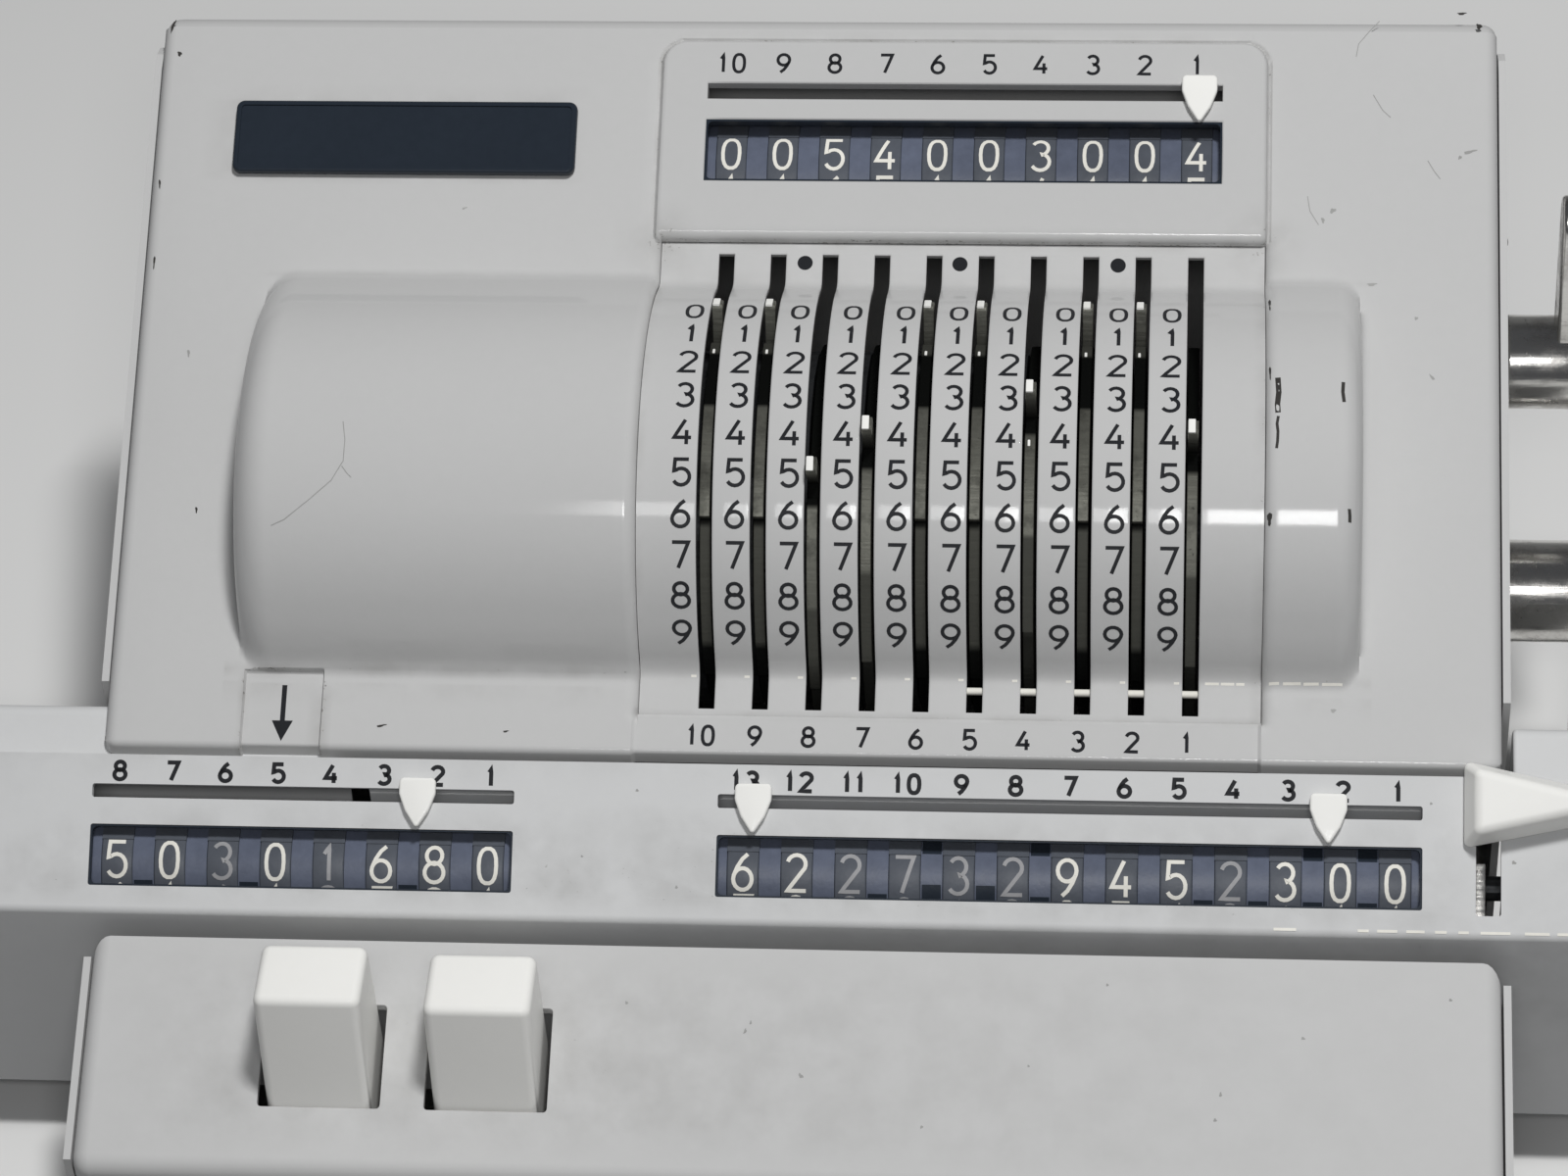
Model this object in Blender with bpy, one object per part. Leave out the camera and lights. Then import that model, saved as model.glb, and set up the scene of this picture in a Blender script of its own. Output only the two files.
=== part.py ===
"""Hand-cranked pinwheel calculator, modelled as the separate pieces it is built from.

Everything is placed from the rotor axis: X runs to the right along that axis and is zero
at setting column 1, Y runs to the back and Z up. An empty called machine then moves the
whole, so that the origin is the middle of the underside of the bounding box.
"""
import bmesh
import bpy
from math import acos, asin, atan2, cos, pi, radians, sin, tan
from mathutils import Matrix, Vector

MM = 0.001

# Columns and registers
PITCH = 8.5 * MM
SETTING_COLUMNS = 10
COUNTER_COLUMNS = 8
RESULT_COLUMNS = 13
CARRIAGE_STEP = 4
HOME_OFFSET = -1.7 * MM
ARROW_X = -144.2 * MM
SETTING_DIGITS = (4, 0, 0, 3, 0, 0, 4, 5, 0, 0)

# Fits
GAP = 0.3 * MM
OVERRUN = 5.0 * MM
SHEET = 1.2 * MM

# Casing
SLOPE = radians(26.2)
CASING_LEFT = -172.8 * MM
CASING_RIGHT = 48.8 * MM
CASING_HEIGHT = 19.5 * MM
CASING_FRONT = 45.2 * MM
CASING_BACK = 70.0 * MM
CASING_BACK_RADIUS = 6.0 * MM
CASING_EDGE_RADIUS = 2.4 * MM
CASING_FLOOR = 61.0 * MM
CASING_FLANGE = 7.0 * MM
BULGE_RISE = 1.4 * MM
BULGE_LEFT = -152.0 * MM
BULGE_RIGHT = 26.5 * MM
BULGE_EDGE_RADIUS = 4.0 * MM
ARROW_NOTCH_WIDTH = 13.0 * MM
ARROW_NOTCH_BACK = 32.7 * MM
ARROW_NOTCH_DEPTH = 0.6 * MM

# Check register: a raised pad on the casing with its window and pointer slot
PAD_LEFT = -88.3 * MM
PAD_RIGHT = 11.4 * MM
PAD_FRONT = 41.9 * MM
PAD_BACK = 77.5 * MM
PAD_RISE = 1.2 * MM
PAD_CORNER = 4.0 * MM
CHECK_WINDOW_FRONT = 52.9 * MM
CHECK_WINDOW_BACK = 63.1 * MM
CHECK_SLOT = 68.6 * MM

# Registers: windows, pointer slots and number dials
WINDOW_MARGIN = 4.1 * MM
SLOT_WIDTH = 2.2 * MM
DIAL_RADIUS = 10.6 * MM
DIAL_WIDTH = 5.0 * MM
DIAL_SHAFT_RADIUS = 2.0 * MM
DIAL_CLEARANCE = 0.6 * MM

# Drum cover with its setting slots
DRUM_RADIUS = 37.6 * MM
DRUM_FLAT_HEIGHT = 18.3 * MM
DRUM_LEFT = -87.2 * MM
DRUM_RIGHT = 11.3 * MM
DRUM_FRONT = 38.2 * MM
DRUM_BACK = 41.6 * MM
LEVER_SLOT_WIDTH = 2.3 * MM
LEVER_SLOT_FRONT = 36.9 * MM
LEVER_SLOT_BACK = 39.5 * MM

# Rotor and setting levers
FIRST_DIGIT_ANGLE = radians(-45.5)
DIGIT_ANGLE = radians(10.0)
LEVER_PROUD = 2.4 * MM
LEVER_CLEARANCE = 1.4 * MM
LEVER_SECTOR_DEPTH = 5.0 * MM
LEVER_SECTOR_SWEEP = radians(110)
LEVER_TAB_WIDTH = 2.6 * MM
LEVER_THICKNESS = 1.7 * MM
ROTOR_SHAFT_RADIUS = 5.0 * MM
ROTOR_HUB_RADIUS = 11.5 * MM
ROTOR_FLANGE_RADIUS = 14.0 * MM
PINWHEEL_RADIUS = 29.0 * MM
PINWHEEL_THICKNESS = 3.6 * MM
PIN_LENGTH = 5.0 * MM
PIN_WIDTH = 1.5 * MM
PIN_THICKNESS = 1.8 * MM
AXIAL_PLAY = 0.5 * MM

# Gear pair between the crank and the rotor
GEAR_TEETH = 16
GEAR_PITCH_RADIUS = 10.7 * MM
GEAR_ADDENDUM = 0.9 * MM
GEAR_DEDENDUM = 1.3 * MM
GEAR_TOOTH_SHARE = 0.40
GEAR_TIP_SHARE = 0.24
GEAR_LEFT = 30.0 * MM
GEAR_WIDTH = 6.0 * MM

# Crank on the right
CRANK_AXIS_ANGLE = radians(-70)
CRANK_HUB_RADIUS = 8.5 * MM
CRANK_SHAFT_RADIUS = 4.0 * MM
CRANK_HUB_LENGTH = 14.5 * MM
CRANK_RADIUS = 38.0 * MM
CRANK_ARM_WIDTH = 12.0 * MM
CRANK_ARM_THICKNESS = 4.5 * MM
CRANK_PIN_RADIUS = 2.5 * MM
CRANK_PIN_HEAD = 4.0 * MM
GRIP_RADIUS = 7.5 * MM
GRIP_LENGTH = 38.0 * MM
GRIP_NECK_RADIUS = 5.0 * MM

# Lever that clears the setting levers
CLEAR_AXIS_Y = 25.0 * MM
CLEAR_AXIS_Z = 15.4 * MM
CLEAR_HUB_RADIUS = 7.7 * MM
CLEAR_SHAFT_RADIUS = 3.5 * MM
CLEAR_HUB_LENGTH = 8.0 * MM
CLEAR_ARM_LENGTH = 26.0 * MM
CLEAR_ARM_WIDTH = 9.0 * MM
CLEAR_ARM_THICKNESS = 4.0 * MM
CLEAR_ARM_LEAN = radians(12)
CLEAR_SHAFT_INSIDE = 6.0 * MM

# Side frames and the shafts between them
FRAME_THICKNESS = 1.2 * MM
FRAME_DROP = 2.5 * MM
FRAME_BOTTOM = 66.0 * MM
FRAME_STRIP_TOP = 61.2 * MM
FRAME_CARRIAGE_BACK = 37.6 * MM
TIE_ROD_RADIUS = 3.0 * MM
TIE_ROD_HEIGHT = 8.0 * MM
TIE_ROD_INSET = 12.0 * MM

# Base pan
PAN_THICKNESS = 2.0 * MM
PAN_RIM = 5.0 * MM
FOOT_RADIUS = 7.0 * MM
FOOT_HEIGHT = 4.0 * MM
FOOT_INSET = 16.0 * MM
RAIL_WIDTH = 10.0 * MM

# Front deck and the step keys
DECK_SLOPE = radians(22)
DECK_BACK = 73.2 * MM
DECK_BACK_DROP = 19.4 * MM
DECK_FRONT = 109.0 * MM
DECK_EDGE_RADIUS = 3.4 * MM
KEY_WIDTH = 15.6 * MM
KEY_LEFT_X = -134.9 * MM
KEY_SPACING = 26.2 * MM
KEY_OPENING_WIDTH = 19.2 * MM
KEY_OPENING_SHIFT = -0.9 * MM
KEY_OPENING_DEPTH = 15.6 * MM
DECK_FRONT_BAND = 9.7 * MM
KEY_TOP_DROP = 8.2 * MM
KEY_TOP_DEPTH = 9.2 * MM
KEY_LEAN = radians(9.5)
KEY_BACK_LEAN = radians(4)
KEY_EDGE_RADIUS = 0.9 * MM
KEY_WALL = 2.4 * MM
KEY_ROOF = 4.8 * MM
KEY_SKIRT = 9.0 * MM
KEY_TRAVEL = 4.0 * MM

# Carriage
FACE_SLOPE = radians(35)
FACE_BACK = 50.6 * MM
FACE_BACK_DROP = 2.6 * MM
FACE_LENGTH = 25.0 * MM
FACE_EDGE_RADIUS = 1.6 * MM
CARRIAGE_LEFT = -213.0 * MM
CARRIAGE_RIGHT = 72.0 * MM
CARRIAGE_BOTTOM = 60.0 * MM
CARRIAGE_FLANGE = 9.0 * MM
CARRIAGE_SLOT_DOWN = 6.1 * MM
CARRIAGE_WINDOW_TOP = 11.2 * MM
CARRIAGE_WINDOW_BOTTOM = 21.0 * MM
LEDGE_HEIGHT = 16.7 * MM
LEDGE_BACK = 34.7 * MM
LEDGE_LEFT_END = -135.0 * MM
LEDGE_RIGHT_END = 52.0 * MM
LEDGE_HEEL_SHARES = ((0.36, 0.26), (0.56, 0.42))
LEDGE_WALL = 44.2 * MM
CARRIAGE_RAIL = 2.0 * MM
CARRIAGE_CHEEK = 2.0 * MM
CARRIAGE_CHEEK_TOP = 15.0 * MM

# Pointers that mark the decimal places
POINTER_WIDTH = 5.8 * MM
POINTER_LENGTH = 7.6 * MM
CHECK_POINTER_LENGTH = 8.4 * MM
POINTER_THICKNESS = 1.3 * MM
POINTER_SHOULDER_SHARE = 0.30
POINTER_STEM_WIDTH = 3.0 * MM
CHECK_POINTER_X = 0.3 * MM
COUNTER_POINTER_X = -121.4 * MM
RESULT_POINTER_LEFT_X = -68.1 * MM
RESULT_POINTER_RIGHT_X = 21.8 * MM

# Knob that clears the result register
KNOB_SLOT_X = 46.6 * MM
KNOB_SLOT_WIDTH = 3.2 * MM
KNOB_CENTRE_DOWN = 4.6 * MM
KNOB_LENGTH = 17.0 * MM
KNOB_WIDTH = 13.0 * MM
KNOB_TOP_LENGTH = 14.7 * MM
KNOB_TOP_WIDTH = 9.0 * MM
KNOB_TIP_WIDTH = 1.2 * MM
KNOB_THICKNESS = 5.2 * MM
KNOB_LEFT = 4.7 * MM
KNOB_STEM_DEPTH = 5.0 * MM
KNOB_TRAVEL = 15.5 * MM

# Nameplate, left bare
PLATE_LEFT = -159.0 * MM
PLATE_RIGHT = -102.0 * MM
PLATE_FRONT = 53.0 * MM
PLATE_BACK = 65.8 * MM
PLATE_THICKNESS = 1.4 * MM
PLATE_CORNER = 1.3 * MM

# Facets
DIAL_SEGMENTS = 18
SHAFT_SEGMENTS = 12
ROTOR_SEGMENTS = 18
HUB_SEGMENTS = 24
DRUM_SEGMENTS = 22
CORNER_SEGMENTS = 4

# Places worked out from the sizes above
BULGE_RADIUS = DRUM_RADIUS + BULGE_RISE
LEVER_TIP_RADIUS = DRUM_RADIUS + LEVER_PROUD
LEVER_SECTOR_RADIUS = DRUM_RADIUS - SHEET - LEVER_CLEARANCE
LEVER_RING_RADIUS = LEVER_SECTOR_RADIUS - LEVER_SECTOR_DEPTH
KEY_OPENING_FRONT = DECK_FRONT - DECK_FRONT_BAND
KEY_OPENING_BACK = KEY_OPENING_FRONT - KEY_OPENING_DEPTH
CRANK_DISTANCE = 2 * GEAR_PITCH_RADIUS
CRANK_AXIS_Y = CRANK_DISTANCE * cos(CRANK_AXIS_ANGLE)
CRANK_AXIS_Z = CRANK_DISTANCE * sin(CRANK_AXIS_ANGLE)
FRAME_LEFT = CASING_LEFT - GAP - FRAME_THICKNESS
FRAME_RIGHT = CASING_RIGHT + GAP + FRAME_THICKNESS
FLOOR_BOTTOM = FRAME_BOTTOM + PAN_THICKNESS
REST_HEIGHT = FLOOR_BOTTOM + FOOT_HEIGHT
RESULT_1_X = HOME_OFFSET + CARRIAGE_STEP * PITCH
COUNTER_1_X = ARROW_X + CARRIAGE_STEP * PITCH
DIAL_DEPTH = SHEET + DIAL_CLEARANCE + DIAL_RADIUS
CRANK_ARM_LEFT = FRAME_RIGHT + GAP + CRANK_HUB_LENGTH
CRANK_ARM_RIGHT = CRANK_ARM_LEFT + CRANK_ARM_THICKNESS
GRIP_RIGHT = CRANK_ARM_RIGHT + GAP + GRIP_LENGTH
OVERALL_RIGHT = GRIP_RIGHT + GAP + CRANK_PIN_HEAD

COLLECTION = bpy.context.scene.collection


def face_point(along, above):
    """Y and Z of a point on the casing's slope: along it to the back, above the rotor axis"""
    return (along * cos(SLOPE) - above * sin(SLOPE), along * sin(SLOPE) + above * cos(SLOPE))


def deck_point(forward, above):
    """Y and Z of a point on the deck's slope, this far in front of the axis and above the deck"""
    return (-forward, above - DECK_BACK_DROP - (forward - DECK_BACK) * tan(DECK_SLOPE))


def carriage_point(down, above):
    """Y and Z of a point on the carriage face: down it from its back edge, above its surface"""
    y = -FACE_BACK - down * cos(FACE_SLOPE) - above * sin(FACE_SLOPE)
    z = -FACE_BACK_DROP - down * sin(FACE_SLOPE) + above * cos(FACE_SLOPE)
    return (y, z)


def material(name, colour, roughness, metallic=0.0):
    """A plain finish with the piece's colour"""
    finish = bpy.data.materials.new(name)
    finish.use_nodes = True
    shader = finish.node_tree.nodes["Principled BSDF"]
    shader.inputs["Base Color"].default_value = (*colour, 1.0)
    shader.inputs["Roughness"].default_value = roughness
    shader.inputs["Metallic"].default_value = metallic
    finish.diffuse_color = (*colour, 1.0)
    return finish


def arc(centre, radius, start, end, segments):
    """Points along an arc, both ends included; angles are measured from +Y to +Z"""
    points = []
    for index in range(segments + 1):
        angle = start + (end - start) * index / segments
        points.append((centre[0] + radius * cos(angle), centre[1] + radius * sin(angle)))
    return points


def rounded_corner(before, corner, after, radius, segments=CORNER_SEGMENTS):
    """The arc that rounds the corner of an outline"""
    first = Vector(before) - Vector(corner)
    second = Vector(after) - Vector(corner)
    first.normalize()
    second.normalize()
    half = first.angle(second) / 2
    reach = radius / tan(half)
    middle = (first + second).normalized()
    centre = Vector(corner) + middle * (radius / sin(half))
    start = Vector(corner) + first * reach - centre
    end = Vector(corner) + second * reach - centre
    start_angle = atan2(start.y, start.x)
    sweep = atan2(end.y, end.x) - start_angle
    if sweep > pi:
        sweep -= 2 * pi
    if sweep < -pi:
        sweep += 2 * pi
    return arc((centre.x, centre.y), radius, start_angle, start_angle + sweep, segments)


def offset_outline(points, distance):
    """The outline moved inwards by a distance, with mitred corners"""
    area = 0.0
    for (y0, z0), (y1, z1) in zip(points, points[1:] + points[:1]):
        area += y0 * z1 - y1 * z0
    side = 1.0 if area > 0 else -1.0
    moved = []
    for before, point, after in zip(points[-1:] + points[:-1], points, points[1:] + points[:1]):
        into = (Vector(point) - Vector(before)).normalized()
        out = (Vector(after) - Vector(point)).normalized()
        normal_in = Vector((-into.y, into.x)) * side
        normal_out = Vector((-out.y, out.x)) * side
        middle = normal_in + normal_out
        shift = middle * (distance / (0.5 * middle.dot(middle)))
        moved.append((point[0] + shift.x, point[1] + shift.y))
    return moved


def new_object(name, mesh_builder, finish=None, smooth=True):
    """An object whose mesh is closed with its faces out, hung on the machine empty"""
    mesh = bpy.data.meshes.new(name)
    bmesh.ops.recalc_face_normals(mesh_builder, faces=mesh_builder.faces)
    mesh_builder.to_mesh(mesh)
    mesh_builder.free()
    if smooth:
        mesh.shade_smooth()
        mesh.set_sharp_from_angle(angle=radians(35))
    if finish:
        mesh.materials.append(finish)
    obj = bpy.data.objects.new(name, mesh)
    COLLECTION.objects.link(obj)
    return obj


def prism_mesh(sections):
    """A solid through outlines that lie across X; each section is an X and its outline"""
    builder = bmesh.new()
    rings = []
    for x, outline in sections:
        rings.append([builder.verts.new((x, y, z)) for y, z in outline])
    count = len(rings[0])
    for low, high in zip(rings, rings[1:]):
        for index in range(count):
            follow = (index + 1) % count
            builder.faces.new((low[index], low[follow], high[follow], high[index]))
    builder.faces.new(rings[0])
    builder.faces.new(list(reversed(rings[-1])))
    return builder


def prism(name, outline, left, right, finish=None):
    """An outline in Y and Z drawn out along X"""
    return new_object(name, prism_mesh([(left, outline), (right, outline)]), finish)


def soft_prism(name, outline, left, right, radius, finish):
    """An outline drawn out along X, with the edges of both ends rounded"""
    sections = []
    for index in range(CORNER_SEGMENTS):
        angle = pi / 2 * index / CORNER_SEGMENTS
        inset = radius * (1 - sin(angle))
        sections.append((left + radius * (1 - cos(angle)), offset_outline(outline, inset)))
    sections.append((left + radius, outline))
    sections.append((right - radius, outline))
    for index in reversed(range(CORNER_SEGMENTS)):
        angle = pi / 2 * index / CORNER_SEGMENTS
        inset = radius * (1 - sin(angle))
        sections.append((right - radius * (1 - cos(angle)), offset_outline(outline, inset)))
    return new_object(name, prism_mesh(sections), finish)


def turned_mesh(profile, segments, phase=0.0):
    """A body turned about X from points of X and radius; it closes on itself where bored"""
    builder = bmesh.new()
    rings = []
    for x, radius in profile:
        if radius == 0:
            rings.append([builder.verts.new((x, 0, 0))])
            continue
        ring = []
        for index in range(segments):
            angle = phase + 2 * pi * index / segments
            ring.append(builder.verts.new((x, radius * cos(angle), radius * sin(angle))))
        rings.append(ring)
    pairs = list(zip(rings, rings[1:]))
    if len(rings[0]) > 1 and len(rings[-1]) > 1:
        pairs.append((rings[-1], rings[0]))
    for low, high in pairs:
        for index in range(segments):
            follow = (index + 1) % segments
            if len(low) == 1:
                builder.faces.new((low[0], high[index], high[follow]))
            elif len(high) == 1:
                builder.faces.new((low[index], low[follow], high[0]))
            else:
                builder.faces.new((low[index], low[follow], high[follow], high[index]))
    return builder


def turned(name, profile, segments, finish=None):
    """An object turned about its own X axis"""
    return new_object(name, turned_mesh(profile, segments), finish)


def rod_profile(left, right, radius):
    """The profile of a plain solid rod"""
    return [(left, 0), (left, radius), (right, radius), (right, 0)]


def box_outline(front, back, bottom, top):
    """A rectangle in Y and Z"""
    return [(front, bottom), (back, bottom), (back, top), (front, top)]


def slanted_outline(locate, first, second, bottom, top):
    """A rectangle along a sloping face; locate gives Y and Z from a distance and a height"""
    return [locate(first, bottom), locate(second, bottom), locate(second, top), locate(first, top)]


def combine(target, tool, operation):
    """Adds a Boolean with a hidden tool solid"""
    tool.hide_render = True
    tool.display_type = "WIRE"
    tool.parent = target.parent
    modifier = target.modifiers.new(tool.name, "BOOLEAN")
    modifier.operation = operation
    modifier.solver = "EXACT"
    modifier.object = tool
    return target


def cut(target, tool):
    """Cuts a tool solid out of a piece"""
    return combine(target, tool, "DIFFERENCE")


def join(target, tool):
    """Joins a solid to the piece that it belongs to"""
    return combine(target, tool, "UNION")


def place(obj, parent, x=0.0, y=0.0, z=0.0):
    """Hangs a piece on its parent at a place given from the rotor axis"""
    obj.parent = parent
    origin = parent.get("place", (0.0, 0.0, 0.0))
    obj.location = (x - origin[0], y - origin[1], z - origin[2])
    obj["place"] = (x, y, z)
    return obj


def plate_outline(left, right, front, back, radius):
    """A rectangle with round corners, in X and a distance along a face"""
    corners = [(left, front), (right, front), (right, back), (left, back)]
    outline = []
    for before, corner, after in zip(corners[-1:] + corners[:-1], corners, corners[1:] + corners[:1]):
        outline += rounded_corner(before, corner, after, radius)
    return outline


def face_plate_mesh(outline, locate, bottom, top, top_outline=None):
    """A plate on a sloping face; its outlines are in X and a distance along the face"""
    builder = bmesh.new()
    low = [builder.verts.new((x, *locate(along, bottom))) for x, along in outline]
    high = [builder.verts.new((x, *locate(along, top))) for x, along in top_outline or outline]
    count = len(outline)
    for index in range(count):
        follow = (index + 1) % count
        builder.faces.new((low[index], low[follow], high[follow], high[index]))
    builder.faces.new(low)
    builder.faces.new(list(reversed(high)))
    return builder


def register_span(first_x, columns):
    """Left and right end of the window over a register's dials"""
    return (first_x - (columns - 1) * PITCH - WINDOW_MARGIN, first_x + WINDOW_MARGIN)


def casing_outline():
    """The casing from the side: slope, round back edge, back wall, and the carriage's way"""
    front = face_point(-CASING_FRONT, CASING_HEIGHT)
    top_z = (CASING_BACK * sin(SLOPE) + CASING_HEIGHT) / cos(SLOPE)
    corner = (CASING_BACK, top_z)
    lower = CASING_HEIGHT - 2 * SHEET
    lower_front = face_point(-CASING_FRONT, lower)
    flank_top = (-FRAME_CARRIAGE_BACK, (lower - FRAME_CARRIAGE_BACK * sin(SLOPE)) / cos(SLOPE))
    outline = [front]
    outline += rounded_corner(front, corner, (CASING_BACK, 0), CASING_BACK_RADIUS)
    outline += [(CASING_BACK, -CASING_FLOOR), (-FRAME_CARRIAGE_BACK, -CASING_FLOOR)]
    outline += [flank_top, lower_front]
    return outline


def casing_hollow(depth):
    """The space deeper than this under the casing's sheet, open to the front and below"""
    inner = CASING_HEIGHT - depth
    back = CASING_BACK - depth
    front = face_point(-CASING_FRONT - OVERRUN, inner)
    corner = (back, (back * sin(SLOPE) + inner) / cos(SLOPE))
    outline = [front]
    if depth < CASING_BACK_RADIUS:
        outline += rounded_corner(front, corner, (back, 0), CASING_BACK_RADIUS - depth)
    else:
        outline.append(corner)
    outline += [(back, -CASING_FLOOR - OVERRUN), (front[0], -CASING_FLOOR - OVERRUN)]
    return outline


def make_top_cover(machine, finish):
    """The sloping casing with its two bulges, check register pad, windows and arrow notch"""
    cover = soft_prism("top_cover", casing_outline(), CASING_LEFT, CASING_RIGHT,
                       CASING_EDGE_RADIUS, finish)
    place(cover, machine)
    bulge = []
    for index in range(CORNER_SEGMENTS + 1):
        angle = pi / 2 * index / CORNER_SEGMENTS
        bulge.append((BULGE_LEFT + BULGE_EDGE_RADIUS * (1 - sin(angle)),
                      BULGE_RADIUS - BULGE_EDGE_RADIUS * (1 - cos(angle))))
    bulge.reverse()
    profile = [(BULGE_LEFT, 0)] + bulge
    for x, radius in reversed(bulge):
        profile.append((BULGE_RIGHT - (x - BULGE_LEFT), radius))
    profile.append((BULGE_RIGHT, 0))
    join(cover, turned("bulge_outside", profile, 2 * DRUM_SEGMENTS))
    pad = plate_outline(PAD_LEFT, PAD_RIGHT, PAD_FRONT, PAD_BACK, PAD_CORNER)
    join(cover, new_object("pad_outside", face_plate_mesh(
        pad, face_point, CASING_HEIGHT - SHEET / 2, CASING_HEIGHT + PAD_RISE)))
    cut(cover, prism("casing_inside", casing_hollow(SHEET), CASING_LEFT + SHEET, CASING_RIGHT - SHEET))
    cut(cover, prism("casing_sides", casing_hollow(CASING_FLANGE), CASING_LEFT - OVERRUN,
                     CASING_RIGHT + OVERRUN))
    cut(cover, turned("bulge_inside", rod_profile(BULGE_LEFT + SHEET, BULGE_RIGHT - SHEET,
                                                  BULGE_RADIUS - SHEET), 2 * DRUM_SEGMENTS))
    cut(cover, prism("drum_opening", slanted_outline(
        face_point, -DRUM_FRONT, DRUM_BACK, CASING_HEIGHT - SHEET - OVERRUN,
        BULGE_RADIUS + OVERRUN), DRUM_LEFT, DRUM_RIGHT))
    left, right = register_span(0, SETTING_COLUMNS)
    low = CASING_HEIGHT - SHEET - OVERRUN
    high = CASING_HEIGHT + PAD_RISE + OVERRUN
    cut(cover, prism("check_window", slanted_outline(
        face_point, CHECK_WINDOW_FRONT, CHECK_WINDOW_BACK, low, high), left, right))
    cut(cover, prism("check_slot", slanted_outline(
        face_point, CHECK_SLOT - SLOT_WIDTH / 2, CHECK_SLOT + SLOT_WIDTH / 2, low, high), left, right))
    cut(cover, prism("arrow_notch", slanted_outline(
        face_point, -CASING_FRONT - OVERRUN, -ARROW_NOTCH_BACK,
        CASING_HEIGHT - ARROW_NOTCH_DEPTH, BULGE_RADIUS + OVERRUN),
        ARROW_X - ARROW_NOTCH_WIDTH / 2, ARROW_X + ARROW_NOTCH_WIDTH / 2))


def drum_arc(radius, height, front_first):
    """The curved part of the drum cover between its two flats"""
    half = acos(height / radius)
    upright = pi / 2 + SLOPE
    start = upright + half if front_first else upright - half
    end = upright - half if front_first else upright + half
    return arc((0, 0), radius, start, end, DRUM_SEGMENTS)


def make_drum_cover(machine, finish):
    """The curved plate between the bulges, with one slot for each setting lever"""
    front = -DRUM_FRONT + GAP
    back = DRUM_BACK - GAP
    under = DRUM_FLAT_HEIGHT - SHEET
    outline = [face_point(front, DRUM_FLAT_HEIGHT)]
    outline += drum_arc(DRUM_RADIUS, DRUM_FLAT_HEIGHT, True)
    outline += [face_point(back, DRUM_FLAT_HEIGHT), face_point(back, under)]
    outline += drum_arc(DRUM_RADIUS - SHEET, under, False)
    outline += [face_point(front, under)]
    cover = prism("drum_cover", outline, DRUM_LEFT + GAP, DRUM_RIGHT - GAP, finish)
    place(cover, machine)
    slots = bmesh.new()
    section = slanted_outline(face_point, -LEVER_SLOT_FRONT, LEVER_SLOT_BACK, 0, DRUM_RADIUS + OVERRUN)
    for column in range(SETTING_COLUMNS):
        middle = -column * PITCH
        single = prism_mesh([(middle - LEVER_SLOT_WIDTH / 2, section),
                             (middle + LEVER_SLOT_WIDTH / 2, section)])
        mesh = bpy.data.meshes.new("slot")
        single.to_mesh(mesh)
        single.free()
        slots.from_mesh(mesh)
        bpy.data.meshes.remove(mesh)
    cut(cover, new_object("lever_slots", slots))


def make_nameplate(machine, finish):
    """The bare dark plate on the casing"""
    outline = plate_outline(PLATE_LEFT, PLATE_RIGHT, PLATE_FRONT, PLATE_BACK, PLATE_CORNER)
    bottom = CASING_HEIGHT + GAP
    place(new_object("nameplate", face_plate_mesh(
        outline, face_point, bottom, bottom + PLATE_THICKNESS), finish), machine)


def side_frame_outline():
    """A side plate: high under the casing, cut away for the carriage, low beside the deck"""
    drop = CASING_HEIGHT - FRAME_DROP
    notch = -FRAME_CARRIAGE_BACK
    notch_top = (drop + notch * sin(SLOPE)) / cos(SLOPE)
    back = CASING_BACK - FRAME_DROP
    top_z = (back * sin(SLOPE) + drop) / cos(SLOPE)
    deck_front = deck_point(DECK_FRONT - FRAME_DROP, -FRAME_DROP)
    deck_back = deck_point(DECK_BACK + FRAME_DROP, -FRAME_DROP)
    outline = [(notch, -FRAME_STRIP_TOP), (notch, notch_top)]
    outline += rounded_corner((notch, notch_top), (back, top_z), (back, 0), CASING_BACK_RADIUS)
    outline += [(back, -FRAME_BOTTOM), (deck_front[0], -FRAME_BOTTOM), deck_front, deck_back]
    outline += [(deck_back[0], -FRAME_STRIP_TOP)]
    return outline


def check_dial_axis():
    """Y and Z of the shaft behind the check register's window"""
    along = (CHECK_WINDOW_FRONT + CHECK_WINDOW_BACK) / 2
    return face_point(along, CASING_HEIGHT - SHEET - DIAL_CLEARANCE - DIAL_RADIUS)


def bar(name, left, right, y, z, radius, segments=SHAFT_SEGMENTS):
    """A round bar along X, away from its object's origin"""
    builder = turned_mesh(rod_profile(left, right, radius), segments)
    bmesh.ops.translate(builder, verts=builder.verts, vec=(0, y, z))
    return new_object(name, builder)


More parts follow.
